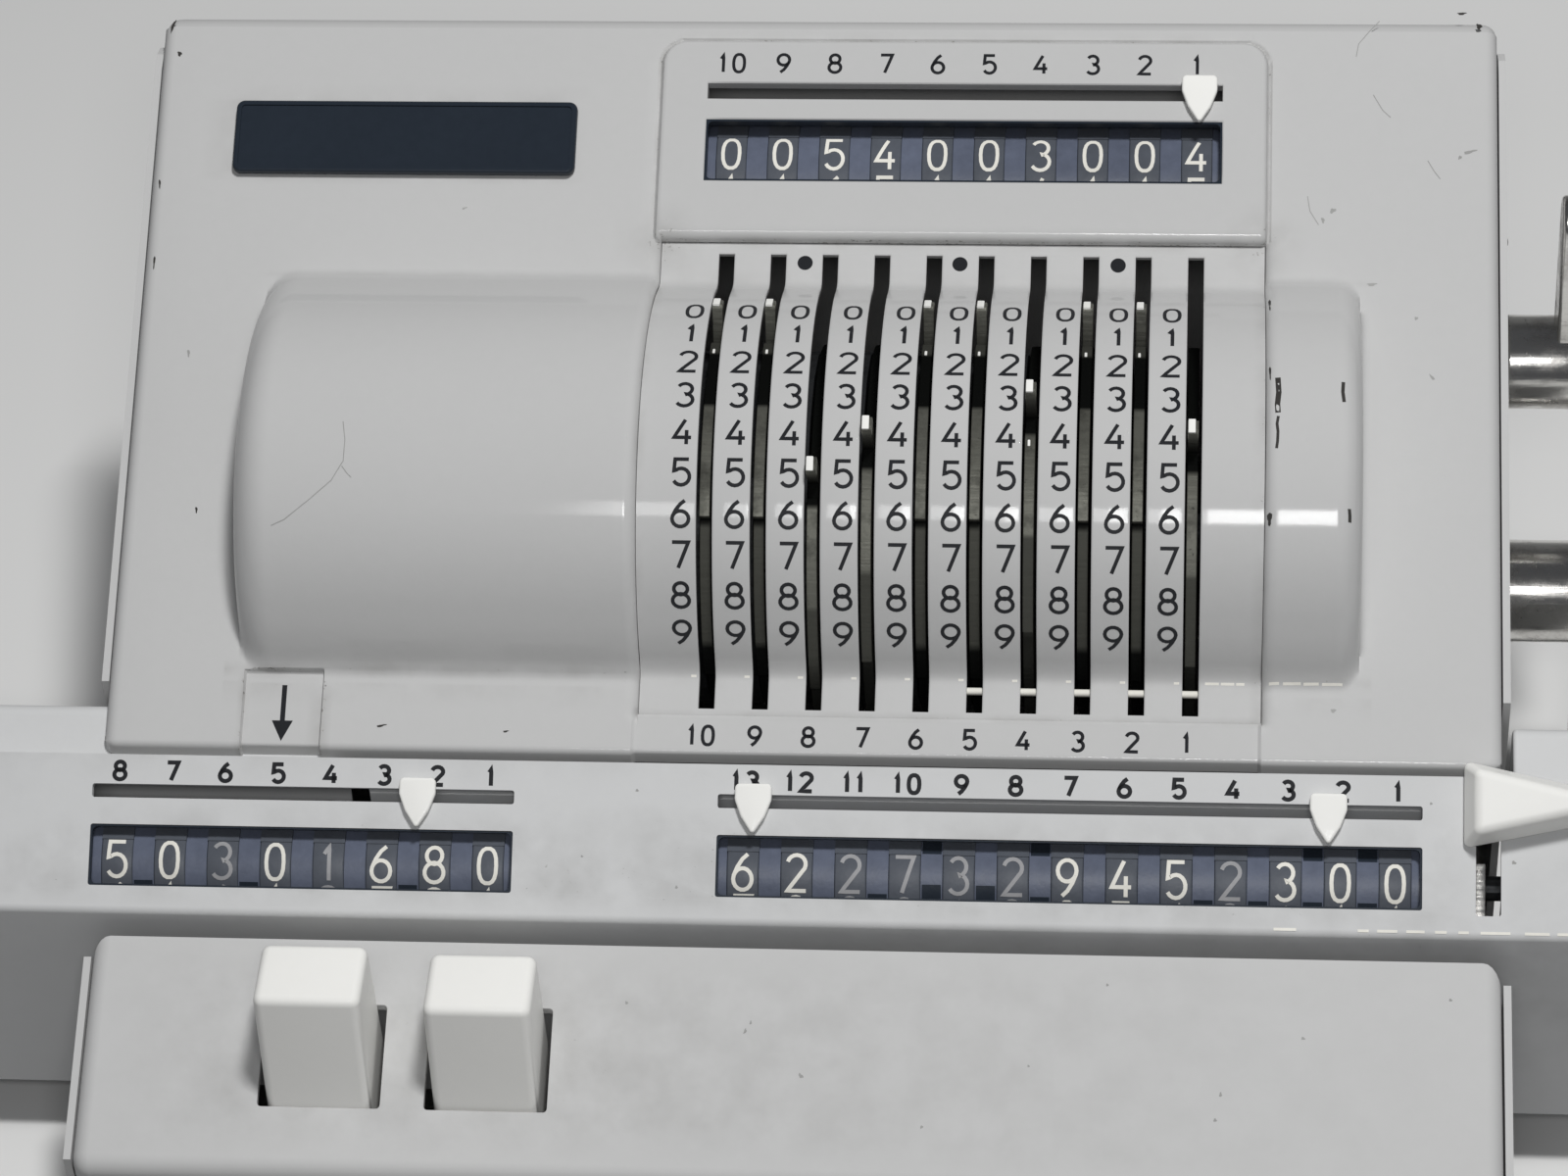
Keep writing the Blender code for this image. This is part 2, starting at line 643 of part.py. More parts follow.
def make_chassis(machine, finish):
    """Two side frames, tied by three rods and by the shaft of the check register"""
    outline = side_frame_outline()
    chassis = prism("chassis", outline, FRAME_LEFT, FRAME_LEFT + FRAME_THICKNESS, finish)
    place(chassis, machine)
    join(chassis, bar("check_shaft", FRAME_LEFT + GAP, FRAME_RIGHT - GAP, *check_dial_axis(),
                      DIAL_SHAFT_RADIUS))
    low = -FRAME_BOTTOM + TIE_ROD_HEIGHT
    rods = ((-FRAME_CARRIAGE_BACK + TIE_ROD_INSET, low), (CASING_BACK - TIE_ROD_INSET, low),
            (CASING_BACK - TIE_ROD_INSET, TIE_ROD_INSET))
    for index, (y, z) in enumerate(rods):
        join(chassis, bar(f"tie_rod_{index + 1}", FRAME_LEFT + GAP, FRAME_RIGHT - GAP, y, z,
                          TIE_ROD_RADIUS))
    join(chassis, prism("right_frame", outline, FRAME_RIGHT - FRAME_THICKNESS, FRAME_RIGHT))
    cut(chassis, bar("rotor_bearings", FRAME_LEFT - OVERRUN, FRAME_RIGHT + OVERRUN, 0, 0,
                     ROTOR_SHAFT_RADIUS + GAP, ROTOR_SEGMENTS))
    cut(chassis, bar("crank_bearing", CASING_RIGHT - OVERRUN, FRAME_RIGHT + OVERRUN,
                     CRANK_AXIS_Y, CRANK_AXIS_Z, CRANK_SHAFT_RADIUS + GAP, SHAFT_SEGMENTS))
    cut(chassis, bar("clear_bearing", CASING_RIGHT - OVERRUN, FRAME_RIGHT + OVERRUN,
                     CLEAR_AXIS_Y, CLEAR_AXIS_Z, CLEAR_SHAFT_RADIUS + GAP, SHAFT_SEGMENTS))


def make_base_pan(machine, finish):
    """The floor tray with its feet, the carriage rail and the posts that guide the keys"""
    left = CASING_LEFT
    right = CASING_RIGHT
    front = -DECK_FRONT + SHEET + GAP
    back = CASING_BACK - SHEET - GAP
    bottom = -FLOOR_BOTTOM
    top = -FRAME_BOTTOM
    pan = prism("base_pan", box_outline(front, back, bottom, top + PAN_RIM),
                left + SHEET + GAP, right - SHEET - GAP, finish)
    place(pan, machine)
    cut(pan, prism("pan_inside", box_outline(front + PAN_THICKNESS, back - PAN_THICKNESS, top,
                                             top + PAN_RIM + OVERRUN),
                   left + SHEET + GAP + PAN_THICKNESS, right - SHEET - GAP - PAN_THICKNESS))
    rail_top = -CARRIAGE_BOTTOM - GAP
    rail_middle = -(FACE_BACK + DECK_BACK) / 2
    rail = box_outline(rail_middle - RAIL_WIDTH / 2, rail_middle + RAIL_WIDTH / 2,
                       top - PAN_THICKNESS / 2, rail_top)
    join(pan, prism("carriage_rail", rail, left + SHEET + 2 * GAP, right - SHEET - 2 * GAP))
    half = KEY_WIDTH / 2 - KEY_WALL - GAP
    key = key_shape()
    post = key_pocket(top - PAN_THICKNESS / 2 - key["foot_z"],
                      key["height"] - KEY_ROOF - KEY_TRAVEL - GAP, GAP)
    post = [(y + key["foot_y"], z + key["foot_z"]) for y, z in post]
    for index in range(2):
        x = KEY_LEFT_X + index * KEY_SPACING
        join(pan, prism(f"key_post_{index + 1}", post, x - half, x + half))
    for index in range(4):
        x = left + FOOT_INSET if index < 2 else right - FOOT_INSET
        y = front + FOOT_INSET if index % 2 == 0 else back - FOOT_INSET
        foot = turned_mesh(rod_profile(-REST_HEIGHT, bottom + PAN_THICKNESS / 2, FOOT_RADIUS),
                           SHAFT_SEGMENTS)
        bmesh.ops.rotate(foot, verts=foot.verts, matrix=Matrix.Rotation(-pi / 2, 3, "Y"))
        bmesh.ops.translate(foot, verts=foot.verts, vec=(x, y, 0))
        join(pan, new_object(f"foot_{index + 1}", foot))


def deck_outline(inset):
    """The front deck from the side, or its hollow when an inset is given"""
    back = DECK_BACK if inset == 0 else DECK_BACK - OVERRUN
    bottom = -FLOOR_BOTTOM if inset == 0 else -FLOOR_BOTTOM - OVERRUN
    drop = inset / cos(DECK_SLOPE)
    back_top = deck_point(back, -drop)
    corner = deck_point(DECK_FRONT - inset, -drop)
    outline = [back_top]
    outline += rounded_corner(back_top, corner, (corner[0], bottom), DECK_EDGE_RADIUS - inset)
    outline += [(corner[0], bottom), (back_top[0], bottom)]
    return outline


def key_shape():
    """Corners of a step key from the side, from its own origin at the foot of its front"""
    foot_y, foot_z = deck_point(KEY_OPENING_FRONT - GAP, 0)
    height = -KEY_TOP_DROP - foot_z
    top_front = height * tan(KEY_LEAN)
    top_back = top_front + KEY_TOP_DEPTH
    back_foot = top_back + (height + KEY_SKIRT) * tan(KEY_BACK_LEAN)
    front_foot = -KEY_SKIRT * tan(KEY_LEAN)
    return {"foot_y": foot_y, "foot_z": foot_z, "height": height, "top_front": top_front,
            "top_back": top_back, "front_foot": front_foot, "back_foot": back_foot}


def key_pocket(bottom, top, play):
    """The pocket inside a key, or its post with some play; it leans back as the key's front does"""
    shape = key_shape()
    bottom_shift = (bottom - shape["height"]) * tan(KEY_LEAN)
    top_shift = (top - shape["height"]) * tan(KEY_LEAN)
    front = shape["top_front"] + KEY_WALL + play
    back = shape["top_back"] - KEY_WALL - play
    return [(front + bottom_shift, bottom), (back + bottom_shift, bottom),
            (back + top_shift, top), (front + top_shift, top)]


def make_front_deck(machine, finish):
    """The low cover in front, with an opening for each step key"""
    deck = soft_prism("front_deck", deck_outline(0), CASING_LEFT, CASING_RIGHT,
                      CASING_EDGE_RADIUS, finish)
    place(deck, machine)
    cut(deck, prism("deck_inside", deck_outline(SHEET), CASING_LEFT + SHEET, CASING_RIGHT - SHEET))
    for index in range(2):
        middle = KEY_LEFT_X + KEY_OPENING_SHIFT + index * KEY_SPACING
        cut(deck, prism(f"key_opening_{index + 1}", slanted_outline(
            deck_point, KEY_OPENING_BACK, KEY_OPENING_FRONT, -OVERRUN, OVERRUN),
            middle - KEY_OPENING_WIDTH / 2, middle + KEY_OPENING_WIDTH / 2))


def make_step_keys(machine, finish):
    """The two white keys that step the carriage left and right, hollow over their posts"""
    shape = key_shape()
    outline = [(shape["front_foot"], -KEY_SKIRT), (shape["back_foot"], -KEY_SKIRT),
               (shape["top_back"], shape["height"]), (shape["top_front"], shape["height"])]
    rounded = outline[:2]
    rounded += rounded_corner(outline[1], outline[2], outline[3], KEY_EDGE_RADIUS)
    rounded += rounded_corner(outline[2], outline[3], outline[0], KEY_EDGE_RADIUS)
    inside = key_pocket(-KEY_SKIRT - OVERRUN, shape["height"] - KEY_ROOF, 0)
    half = KEY_WIDTH / 2 - KEY_WALL
    for index, name in enumerate(("step_key_left", "step_key_right")):
        key = soft_prism(name, rounded, -KEY_WIDTH / 2, KEY_WIDTH / 2, KEY_EDGE_RADIUS, finish)
        place(key, machine, KEY_LEFT_X + index * KEY_SPACING, shape["foot_y"], shape["foot_z"])
        pocket = prism(f"{name}_pocket", inside, -half, half)
        cut(key, pocket)
        pocket.parent = key


def lever_outline(angle):
    """A setting lever from the side: ring, sector and the tab that shows in its slot"""
    upright = pi / 2 + SLOPE
    tab = upright + angle
    half_tab = asin(LEVER_TAB_WIDTH / 2 / LEVER_TIP_RADIUS)
    half_foot = asin(LEVER_TAB_WIDTH / 2 / LEVER_SECTOR_RADIUS)
    end = tab + LEVER_SECTOR_SWEEP
    outline = arc((0, 0), LEVER_TIP_RADIUS, tab - half_tab, tab + half_tab, 1)
    outline += arc((0, 0), LEVER_SECTOR_RADIUS, tab + half_foot, end, SHAFT_SEGMENTS)
    outline += arc((0, 0), LEVER_RING_RADIUS, end, tab + 2 * pi - half_foot, ROTOR_SEGMENTS)
    return outline


def make_setting_levers(rotor, finish):
    """Ten ring levers on the rotor's hubs, each set at its digit"""
    for column, digit in enumerate(SETTING_DIGITS):
        outline = lever_outline(FIRST_DIGIT_ANGLE + digit * DIGIT_ANGLE)
        name = f"setting_lever_{column + 1}"
        lever = prism(name, outline, -LEVER_THICKNESS / 2, LEVER_THICKNESS / 2, finish)
        place(lever, rotor, -column * PITCH)
        bore = turned(f"{name}_bore", rod_profile(-OVERRUN, OVERRUN, ROTOR_HUB_RADIUS + GAP),
                      ROTOR_SEGMENTS)
        cut(lever, bore)
        bore.parent = lever


def gear_outline(phase):
    """A spur gear of the crank and rotor pair"""
    tip = GEAR_PITCH_RADIUS + GEAR_ADDENDUM
    root = GEAR_PITCH_RADIUS - GEAR_DEDENDUM
    step = 2 * pi / GEAR_TEETH
    points = []
    for tooth in range(GEAR_TEETH):
        middle = phase + tooth * step
        for radius, share in ((root, -GEAR_TOOTH_SHARE), (tip, -GEAR_TIP_SHARE),
                              (tip, GEAR_TIP_SHARE), (root, GEAR_TOOTH_SHARE)):
            angle = middle + share * step / 2
            points.append((radius * cos(angle), radius * sin(angle)))
    return points


def make_rotor(machine, finish):
    """The pinwheels, hubs and shaft that the crank turns, with the set pins standing out"""
    lever_space = LEVER_THICKNESS / 2 + AXIAL_PLAY
    spacer_width = PITCH - 2 * lever_space - PINWHEEL_THICKNESS
    first_disc = -(SETTING_COLUMNS - 1) * PITCH - lever_space - PINWHEEL_THICKNESS
    profile = [(FRAME_LEFT + GAP, 0), (FRAME_LEFT + GAP, ROTOR_SHAFT_RADIUS)]
    profile.append((first_disc, ROTOR_SHAFT_RADIUS))
    for column in reversed(range(SETTING_COLUMNS)):
        disc_right = -column * PITCH - lever_space
        hub_right = -column * PITCH + lever_space
        profile += [(disc_right - PINWHEEL_THICKNESS, PINWHEEL_RADIUS), (disc_right, PINWHEEL_RADIUS)]
        profile += [(disc_right, ROTOR_HUB_RADIUS), (hub_right, ROTOR_HUB_RADIUS)]
        profile += [(hub_right, ROTOR_FLANGE_RADIUS), (hub_right + spacer_width, ROTOR_FLANGE_RADIUS)]
    profile.append((lever_space + spacer_width, ROTOR_SHAFT_RADIUS))
    profile += [(FRAME_RIGHT - GAP, ROTOR_SHAFT_RADIUS), (FRAME_RIGHT - GAP, 0)]
    rotor = turned("rotor", profile, ROTOR_SEGMENTS, finish)
    place(rotor, machine)
    gear = prism("rotor_gear", gear_outline(CRANK_AXIS_ANGLE), GEAR_LEFT, GEAR_LEFT + GEAR_WIDTH)
    join(rotor, gear)
    gear.parent = rotor
    for column, digit in enumerate(SETTING_DIGITS):
        disc_middle = -column * PITCH - lever_space - PINWHEEL_THICKNESS / 2
        for pin_index in range(digit):
            angle = pi / 2 + SLOPE + FIRST_DIGIT_ANGLE + (pin_index + digit) * DIGIT_ANGLE
            block = box_outline(PINWHEEL_RADIUS - PIN_LENGTH / 2, PINWHEEL_RADIUS + PIN_LENGTH,
                                -PIN_WIDTH / 2, PIN_WIDTH / 2)
            pin_mesh = prism_mesh([(disc_middle - PIN_THICKNESS / 2, block),
                                   (disc_middle + PIN_THICKNESS / 2, block)])
            bmesh.ops.rotate(pin_mesh, verts=pin_mesh.verts, matrix=Matrix.Rotation(angle, 3, "X"))
            pin = new_object(f"pin_{column + 1}_{pin_index + 1}", pin_mesh)
            join(rotor, pin)
            pin.parent = rotor
    return rotor


def make_dial(name, parent, x, y, z, finish, shared):
    """A number dial on its shaft; all dials share one mesh"""
    if "mesh" not in shared:
        half = DIAL_WIDTH / 2
        bore = DIAL_SHAFT_RADIUS + GAP
        profile = [(-half, bore), (-half, DIAL_RADIUS), (half, DIAL_RADIUS), (half, bore)]
        first = turned(name, profile, DIAL_SEGMENTS, finish)
        shared["mesh"] = first.data
        return place(first, parent, x, y, z)
    obj = bpy.data.objects.new(name, shared["mesh"])
    COLLECTION.objects.link(obj)
    return place(obj, parent, x, y, z)


def make_crank(machine, finish):
    """Crank shaft with its gear, hub, arm and grip pin, hanging straight down"""
    profile = [(GEAR_LEFT - GAP, 0), (GEAR_LEFT - GAP, CRANK_SHAFT_RADIUS)]
    profile += [(FRAME_RIGHT + GAP, CRANK_SHAFT_RADIUS), (FRAME_RIGHT + GAP, CRANK_HUB_RADIUS)]
    profile += [(CRANK_ARM_RIGHT, CRANK_HUB_RADIUS), (CRANK_ARM_RIGHT, 0)]
    crank = turned("crank", profile, HUB_SEGMENTS, finish)
    place(crank, machine, 0, CRANK_AXIS_Y, CRANK_AXIS_Z)
    tooth_shift = pi / GEAR_TEETH
    gear = prism("crank_gear", gear_outline(CRANK_AXIS_ANGLE + pi + tooth_shift), GEAR_LEFT,
                 GEAR_LEFT + GEAR_WIDTH)
    join(crank, gear)
    half = CRANK_ARM_WIDTH / 2
    outline = arc((0, -CRANK_RADIUS), half, -pi, 0, SHAFT_SEGMENTS) + [(half, 0), (-half, 0)]
    arm = prism("crank_arm", outline, CRANK_ARM_LEFT, CRANK_ARM_RIGHT)
    join(crank, arm)
    pin_left = CRANK_ARM_RIGHT - CRANK_ARM_THICKNESS / 2
    pin = bar("grip_pin", pin_left, OVERALL_RIGHT - CRANK_PIN_HEAD / 2, 0, -CRANK_RADIUS,
              CRANK_PIN_RADIUS)
    join(crank, pin)
    head = bar("pin_head", GRIP_RIGHT + GAP, OVERALL_RIGHT, 0, -CRANK_RADIUS, GRIP_NECK_RADIUS)
    join(crank, head)
    for tool in (gear, arm, pin, head):
        tool.parent = crank
    return crank


def make_crank_grip(crank, finish):
    """The turning grip on the crank's pin"""
    bore = CRANK_PIN_RADIUS + GAP
    grip_shares = ((0.0, 0.0), (0.0, 0.62), (0.08, 0.86), (0.3, 1.0), (0.7, 0.96), (0.93, 0.8),
                   (1.0, 0.5), (1.0, 0.0))
    profile = []
    for along, out in grip_shares:
        radius = bore + (GRIP_RADIUS - bore) * out
        profile.append((along * GRIP_LENGTH, radius))
    grip = turned("crank_grip", profile, DIAL_SEGMENTS, finish)
    place(grip, crank, CRANK_ARM_RIGHT + GAP, CRANK_AXIS_Y, CRANK_AXIS_Z - CRANK_RADIUS)


def make_clear_lever(machine, finish):
    """The small lever above the crank that sets all levers back to nought"""
    left = CASING_RIGHT - CLEAR_SHAFT_INSIDE
    profile = [(left, 0), (left, CLEAR_SHAFT_RADIUS)]
    profile += [(FRAME_RIGHT + GAP, CLEAR_SHAFT_RADIUS), (FRAME_RIGHT + GAP, CLEAR_HUB_RADIUS)]
    right = FRAME_RIGHT + GAP + CLEAR_HUB_LENGTH + CLEAR_ARM_THICKNESS
    profile += [(right, CLEAR_HUB_RADIUS), (right, 0)]
    lever = turned("clear_lever", profile, HUB_SEGMENTS, finish)
    place(lever, machine, 0, CLEAR_AXIS_Y, CLEAR_AXIS_Z)
    half = CLEAR_ARM_WIDTH / 2
    outline = arc((0, CLEAR_ARM_LENGTH), half, 0, pi, SHAFT_SEGMENTS) + [(-half, 0), (half, 0)]
    arm_mesh = prism_mesh([(right - CLEAR_ARM_THICKNESS, outline), (right, outline)])
    bmesh.ops.rotate(arm_mesh, verts=arm_mesh.verts, matrix=Matrix.Rotation(-CLEAR_ARM_LEAN, 3, "X"))
    arm = new_object("clear_arm", arm_mesh)
    join(lever, arm)
    arm.parent = lever


def carriage_section():
    """The carriage cover from the side, between its two ends"""
    back_top = (-FACE_BACK, -FACE_BACK_DROP)
    corner = carriage_point(FACE_LENGTH, 0)
    bottom = (corner[0] - GAP, -CARRIAGE_BOTTOM)
    outline = [bottom]
    outline += rounded_corner(bottom, corner, back_top, FACE_EDGE_RADIUS)
    outline += [back_top, (-FACE_BACK, -CARRIAGE_BOTTOM)]
    return outline


def end_section():
    """The carriage cover from the side at its ends, with the ledge behind the face"""
    step = (-FACE_BACK, (LEDGE_HEIGHT - FACE_BACK * sin(SLOPE)) / cos(SLOPE))
    crest = face_point(-LEDGE_BACK, LEDGE_HEIGHT)
    drop = CARRIAGE_BOTTOM + crest[1]
    heel = []
    for forward, down in LEDGE_HEEL_SHARES:
        heel.append((crest[0] - forward * (LEDGE_WALL + crest[0]) / LEDGE_HEEL_SHARES[-1][0],
                     crest[1] - down * drop))
    outline = carriage_section()[:-1]
    outline += [step, crest] + heel + [(-LEDGE_WALL, -CARRIAGE_BOTTOM)]
    return outline


def main_hollow():
    """The space under the carriage's face, open below and behind"""
    inner = offset_outline(carriage_section(), SHEET)
    inner[0] = (inner[0][0], -CARRIAGE_BOTTOM - OVERRUN)
    flange_foot = -FACE_BACK_DROP - CARRIAGE_FLANGE
    outline = inner[:-1]
    outline += [(inner[-2][0], flange_foot), (-FACE_BACK + SHEET / 2, flange_foot)]
    outline += [(-FACE_BACK + SHEET / 2, -CARRIAGE_BOTTOM - OVERRUN)]
    return outline


def end_hollow():
    """The space inside the carriage's ends, open below"""
    inner = offset_outline(end_section(), SHEET)
    inner[0] = (inner[0][0], -CARRIAGE_BOTTOM - OVERRUN)
    inner[-1] = (inner[-1][0], -CARRIAGE_BOTTOM - OVERRUN)
    return inner


def carriage_register(cover, name, first_x, columns):
    """Cuts one register's window and pointer slot in the carriage face"""
    left, right = register_span(first_x, columns)
    for opening, top, bottom in (
            ("window", CARRIAGE_WINDOW_TOP, CARRIAGE_WINDOW_BOTTOM),
            ("slot", CARRIAGE_SLOT_DOWN - SLOT_WIDTH / 2, CARRIAGE_SLOT_DOWN + SLOT_WIDTH / 2)):
        outline = slanted_outline(carriage_point, top, bottom, -OVERRUN, OVERRUN)
        cut(cover, prism(f"{name}_{opening}", outline, left, right))


def make_carriage_cover(frame, finish):
    """The carriage's sheet cover with its two registers and the clearing knob's slot"""
    cover = prism("carriage_cover", carriage_section(), CARRIAGE_LEFT, CARRIAGE_RIGHT, finish)
    place(cover, frame.parent)
    join(cover, prism("left_end", end_section(), CARRIAGE_LEFT, LEDGE_LEFT_END))
    join(cover, prism("right_end", end_section(), LEDGE_RIGHT_END, CARRIAGE_RIGHT))
    left = CARRIAGE_LEFT + SHEET
    right = CARRIAGE_RIGHT - SHEET
    cut(cover, prism("carriage_inside", main_hollow(), left, right))
    cut(cover, prism("left_end_inside", end_hollow(), left, LEDGE_LEFT_END + OVERRUN))
    cut(cover, prism("right_end_inside", end_hollow(), LEDGE_RIGHT_END - OVERRUN, right))
    carriage_register(cover, "counter", COUNTER_1_X, COUNTER_COLUMNS)
    carriage_register(cover, "result", RESULT_1_X, RESULT_COLUMNS)
    half = KNOB_SLOT_WIDTH / 2
    cut(cover, prism("knob_slot", slanted_outline(
        carriage_point, KNOB_CENTRE_DOWN - half, KNOB_CENTRE_DOWN + KNOB_TRAVEL + half,
        -OVERRUN, OVERRUN), KNOB_SLOT_X - half, KNOB_SLOT_X + half))


def carriage_dial_axis():
    """Y and Z of the shaft behind the carriage's windows"""
    middle = (CARRIAGE_WINDOW_TOP + CARRIAGE_WINDOW_BOTTOM) / 2
    return carriage_point(middle, -DIAL_DEPTH)


def make_carriage_frame(machine, finish):
    """The carriage's rail, end cheeks and dial shaft"""
    left = CARRIAGE_LEFT + SHEET + GAP
    right = CARRIAGE_RIGHT - SHEET - GAP
    front = carriage_point(FACE_LENGTH, 0)[0] + SHEET + GAP
    back = -FACE_BACK
    bottom = -CARRIAGE_BOTTOM
    rail = prism("carriage_frame", box_outline(front, back, bottom, bottom + CARRIAGE_RAIL),
                 left, right, finish)
    place(rail, machine)
    cheek_back = back - SHEET - GAP
    cheek_bottom = bottom + CARRIAGE_RAIL / 2
    front_top = carriage_point(FACE_LENGTH, -SHEET - DIAL_CLEARANCE)[1]
    cheek = [(front, cheek_bottom), (cheek_back, cheek_bottom), (cheek_back, -CARRIAGE_CHEEK_TOP),
             (front, front_top)]
    dial_y, dial_z = carriage_dial_axis()
    join(rail, prism("left_cheek", cheek, left, left + CARRIAGE_CHEEK))
    join(rail, bar("dial_shaft", left + GAP, right - GAP, dial_y, dial_z, DIAL_SHAFT_RADIUS))
    join(rail, prism("right_cheek", cheek, right - CARRIAGE_CHEEK, right))
    return rail


def pointer_mesh(locate, middle, length, surface):
    """A small arrow plate on its slot; it points back along the face where its length is negative"""
    half = POINTER_WIDTH / 2
    start = middle - (1 if length > 0 else -1) * SLOT_WIDTH
    shoulder = start + POINTER_SHOULDER_SHARE * length
    outline = [(-half, start), (half, start), (half, shoulder), (0, start + length),
               (-half, shoulder)]
    return face_plate_mesh(outline, locate, surface + GAP, surface + GAP + POINTER_THICKNESS)


def make_pointer(name, parent, x, locate, middle, length, surface, finish):
    """A decimal pointer on its slot, with its origin on the slot's line"""
    origin = locate(middle, surface)
    builder = pointer_mesh(locate, middle, length, surface)
    bmesh.ops.translate(builder, verts=builder.verts, vec=(0, -origin[0], -origin[1]))
    pointer = new_object(name, builder, finish)
    place(pointer, parent, x, *origin)
    half = SLOT_WIDTH / 2 - GAP
    stem_outline = slanted_outline(locate, middle - half, middle + half,
                                   surface - SHEET - GAP, surface + GAP + POINTER_THICKNESS / 2)
    stem_outline = [(y - origin[0], z - origin[1]) for y, z in stem_outline]
    stem = prism(f"{name}_stem", stem_outline, -POINTER_STEM_WIDTH / 2, POINTER_STEM_WIDTH / 2)
    join(pointer, stem)
    stem.parent = pointer


def make_clear_knob(frame, finish):
    """The white arrow-shaped knob that slides down to clear the result register"""
    origin = carriage_point(KNOB_CENTRE_DOWN, 0)
    back = KNOB_CENTRE_DOWN - KNOB_WIDTH / 2
    outlines = []
    for length, width in ((KNOB_LENGTH, KNOB_WIDTH), (KNOB_TOP_LENGTH, KNOB_TOP_WIDTH)):
        left = KNOB_LENGTH - KNOB_LEFT - length
        middle = back + width / 2
        half_tip = KNOB_TIP_WIDTH / 2
        outlines.append([(left, back), (left, back + width), (left + length, middle + half_tip),
                         (left + length, middle - half_tip)])
    builder = face_plate_mesh(outlines[0], carriage_point, GAP, GAP + KNOB_THICKNESS, outlines[1])
    bmesh.ops.translate(builder, verts=builder.verts, vec=(0, -origin[0], -origin[1]))
    knob = new_object("result_clear_knob", builder, finish, smooth=False)
    place(knob, frame, KNOB_SLOT_X, *origin)
    stem_half = KNOB_SLOT_WIDTH / 2 - GAP
    stem_outline = slanted_outline(carriage_point, KNOB_CENTRE_DOWN - stem_half,
                                   KNOB_CENTRE_DOWN + stem_half, -KNOB_STEM_DEPTH,
                                   GAP + KNOB_THICKNESS / 2)
    stem_outline = [(y - origin[0], z - origin[1]) for y, z in stem_outline]
    stem = prism("knob_stem", stem_outline, -stem_half, stem_half)
    join(knob, stem)
    stem.parent = knob


def main():
    for obj in list(bpy.data.objects):
        bpy.data.objects.remove(obj, do_unlink=True)
    enamel = material("grey_enamel", (0.56, 0.56, 0.55), 0.42)
    carriage_enamel = material("carriage_enamel", (0.54, 0.55, 0.55), 0.42)
    frame_steel = material("frame_steel", (0.36, 0.36, 0.35), 0.5, 0.6)
    bright_steel = material("bright_steel", (0.62, 0.60, 0.56), 0.3, 1.0)
    chrome = material("chrome", (0.72, 0.71, 0.68), 0.18, 1.0)
    white = material("white_plastic", (0.86, 0.85, 0.80), 0.38)
    slate = material("slate_plate", (0.03, 0.04, 0.06), 0.35)
    dial_black = material("dial_enamel", (0.035, 0.04, 0.055), 0.4)
    machine = bpy.data.objects.new("machine", None)
    COLLECTION.objects.link(machine)
    make_base_pan(machine, frame_steel)
    make_chassis(machine, enamel)
    make_front_deck(machine, enamel)
    make_top_cover(machine, enamel)
    make_drum_cover(machine, enamel)
    make_nameplate(machine, slate)
    rotor = make_rotor(machine, bright_steel)
    make_setting_levers(rotor, bright_steel)
    crank = make_crank(machine, chrome)
    make_crank_grip(crank, white)
    make_clear_lever(machine, chrome)
    make_step_keys(machine, white)
    frame = make_carriage_frame(machine, frame_steel)
    make_carriage_cover(frame, carriage_enamel)
    shared = {}
    check_y, check_z = check_dial_axis()
    for column in range(SETTING_COLUMNS):
        make_dial(f"check_dial_{column + 1}", machine, -column * PITCH, check_y, check_z,
                  dial_black, shared)
    dial_y, dial_z = carriage_dial_axis()
    for register, first_x, columns in (("counter", COUNTER_1_X, COUNTER_COLUMNS),
                                       ("result", RESULT_1_X, RESULT_COLUMNS)):
        for column in range(columns):
            make_dial(f"{register}_dial_{column + 1}", frame, first_x - column * PITCH, dial_y,
                      dial_z, dial_black, shared)
    make_pointer("check_pointer", machine, CHECK_POINTER_X, face_point, CHECK_SLOT,
                 -CHECK_POINTER_LENGTH, CASING_HEIGHT + PAD_RISE, white)
    for name, x in (("counter_pointer", COUNTER_POINTER_X),
                    ("result_pointer_left", RESULT_POINTER_LEFT_X),
                    ("result_pointer_right", RESULT_POINTER_RIGHT_X)):
        make_pointer(name, frame, x, carriage_point, CARRIAGE_SLOT_DOWN, POINTER_LENGTH, 0, white)
    make_clear_knob(frame, white)
    middle_x = (CARRIAGE_LEFT + OVERALL_RIGHT) / 2
    middle_y = (CASING_BACK - DECK_FRONT) / 2
    machine.location = (-middle_x, -middle_y, REST_HEIGHT)
    bpy.context.view_layer.update()


main()
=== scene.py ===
# %% [markdown]
# # A hand-cranked pinwheel calculator
# The machine adds with a rotor of ten pinwheels under the slotted drum. Levers in the
# slots set the pins, the crank turns the rotor, and the carriage in front holds the
# number wheels that count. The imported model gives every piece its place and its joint.
# This lesson dresses that frame with finer shapes, printed figures and worn finishes.

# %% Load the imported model
from math import atan2, cos, degrees, hypot, pi, radians, sin, sqrt, tan

import bmesh
import bpy
from mathutils import Matrix, Vector


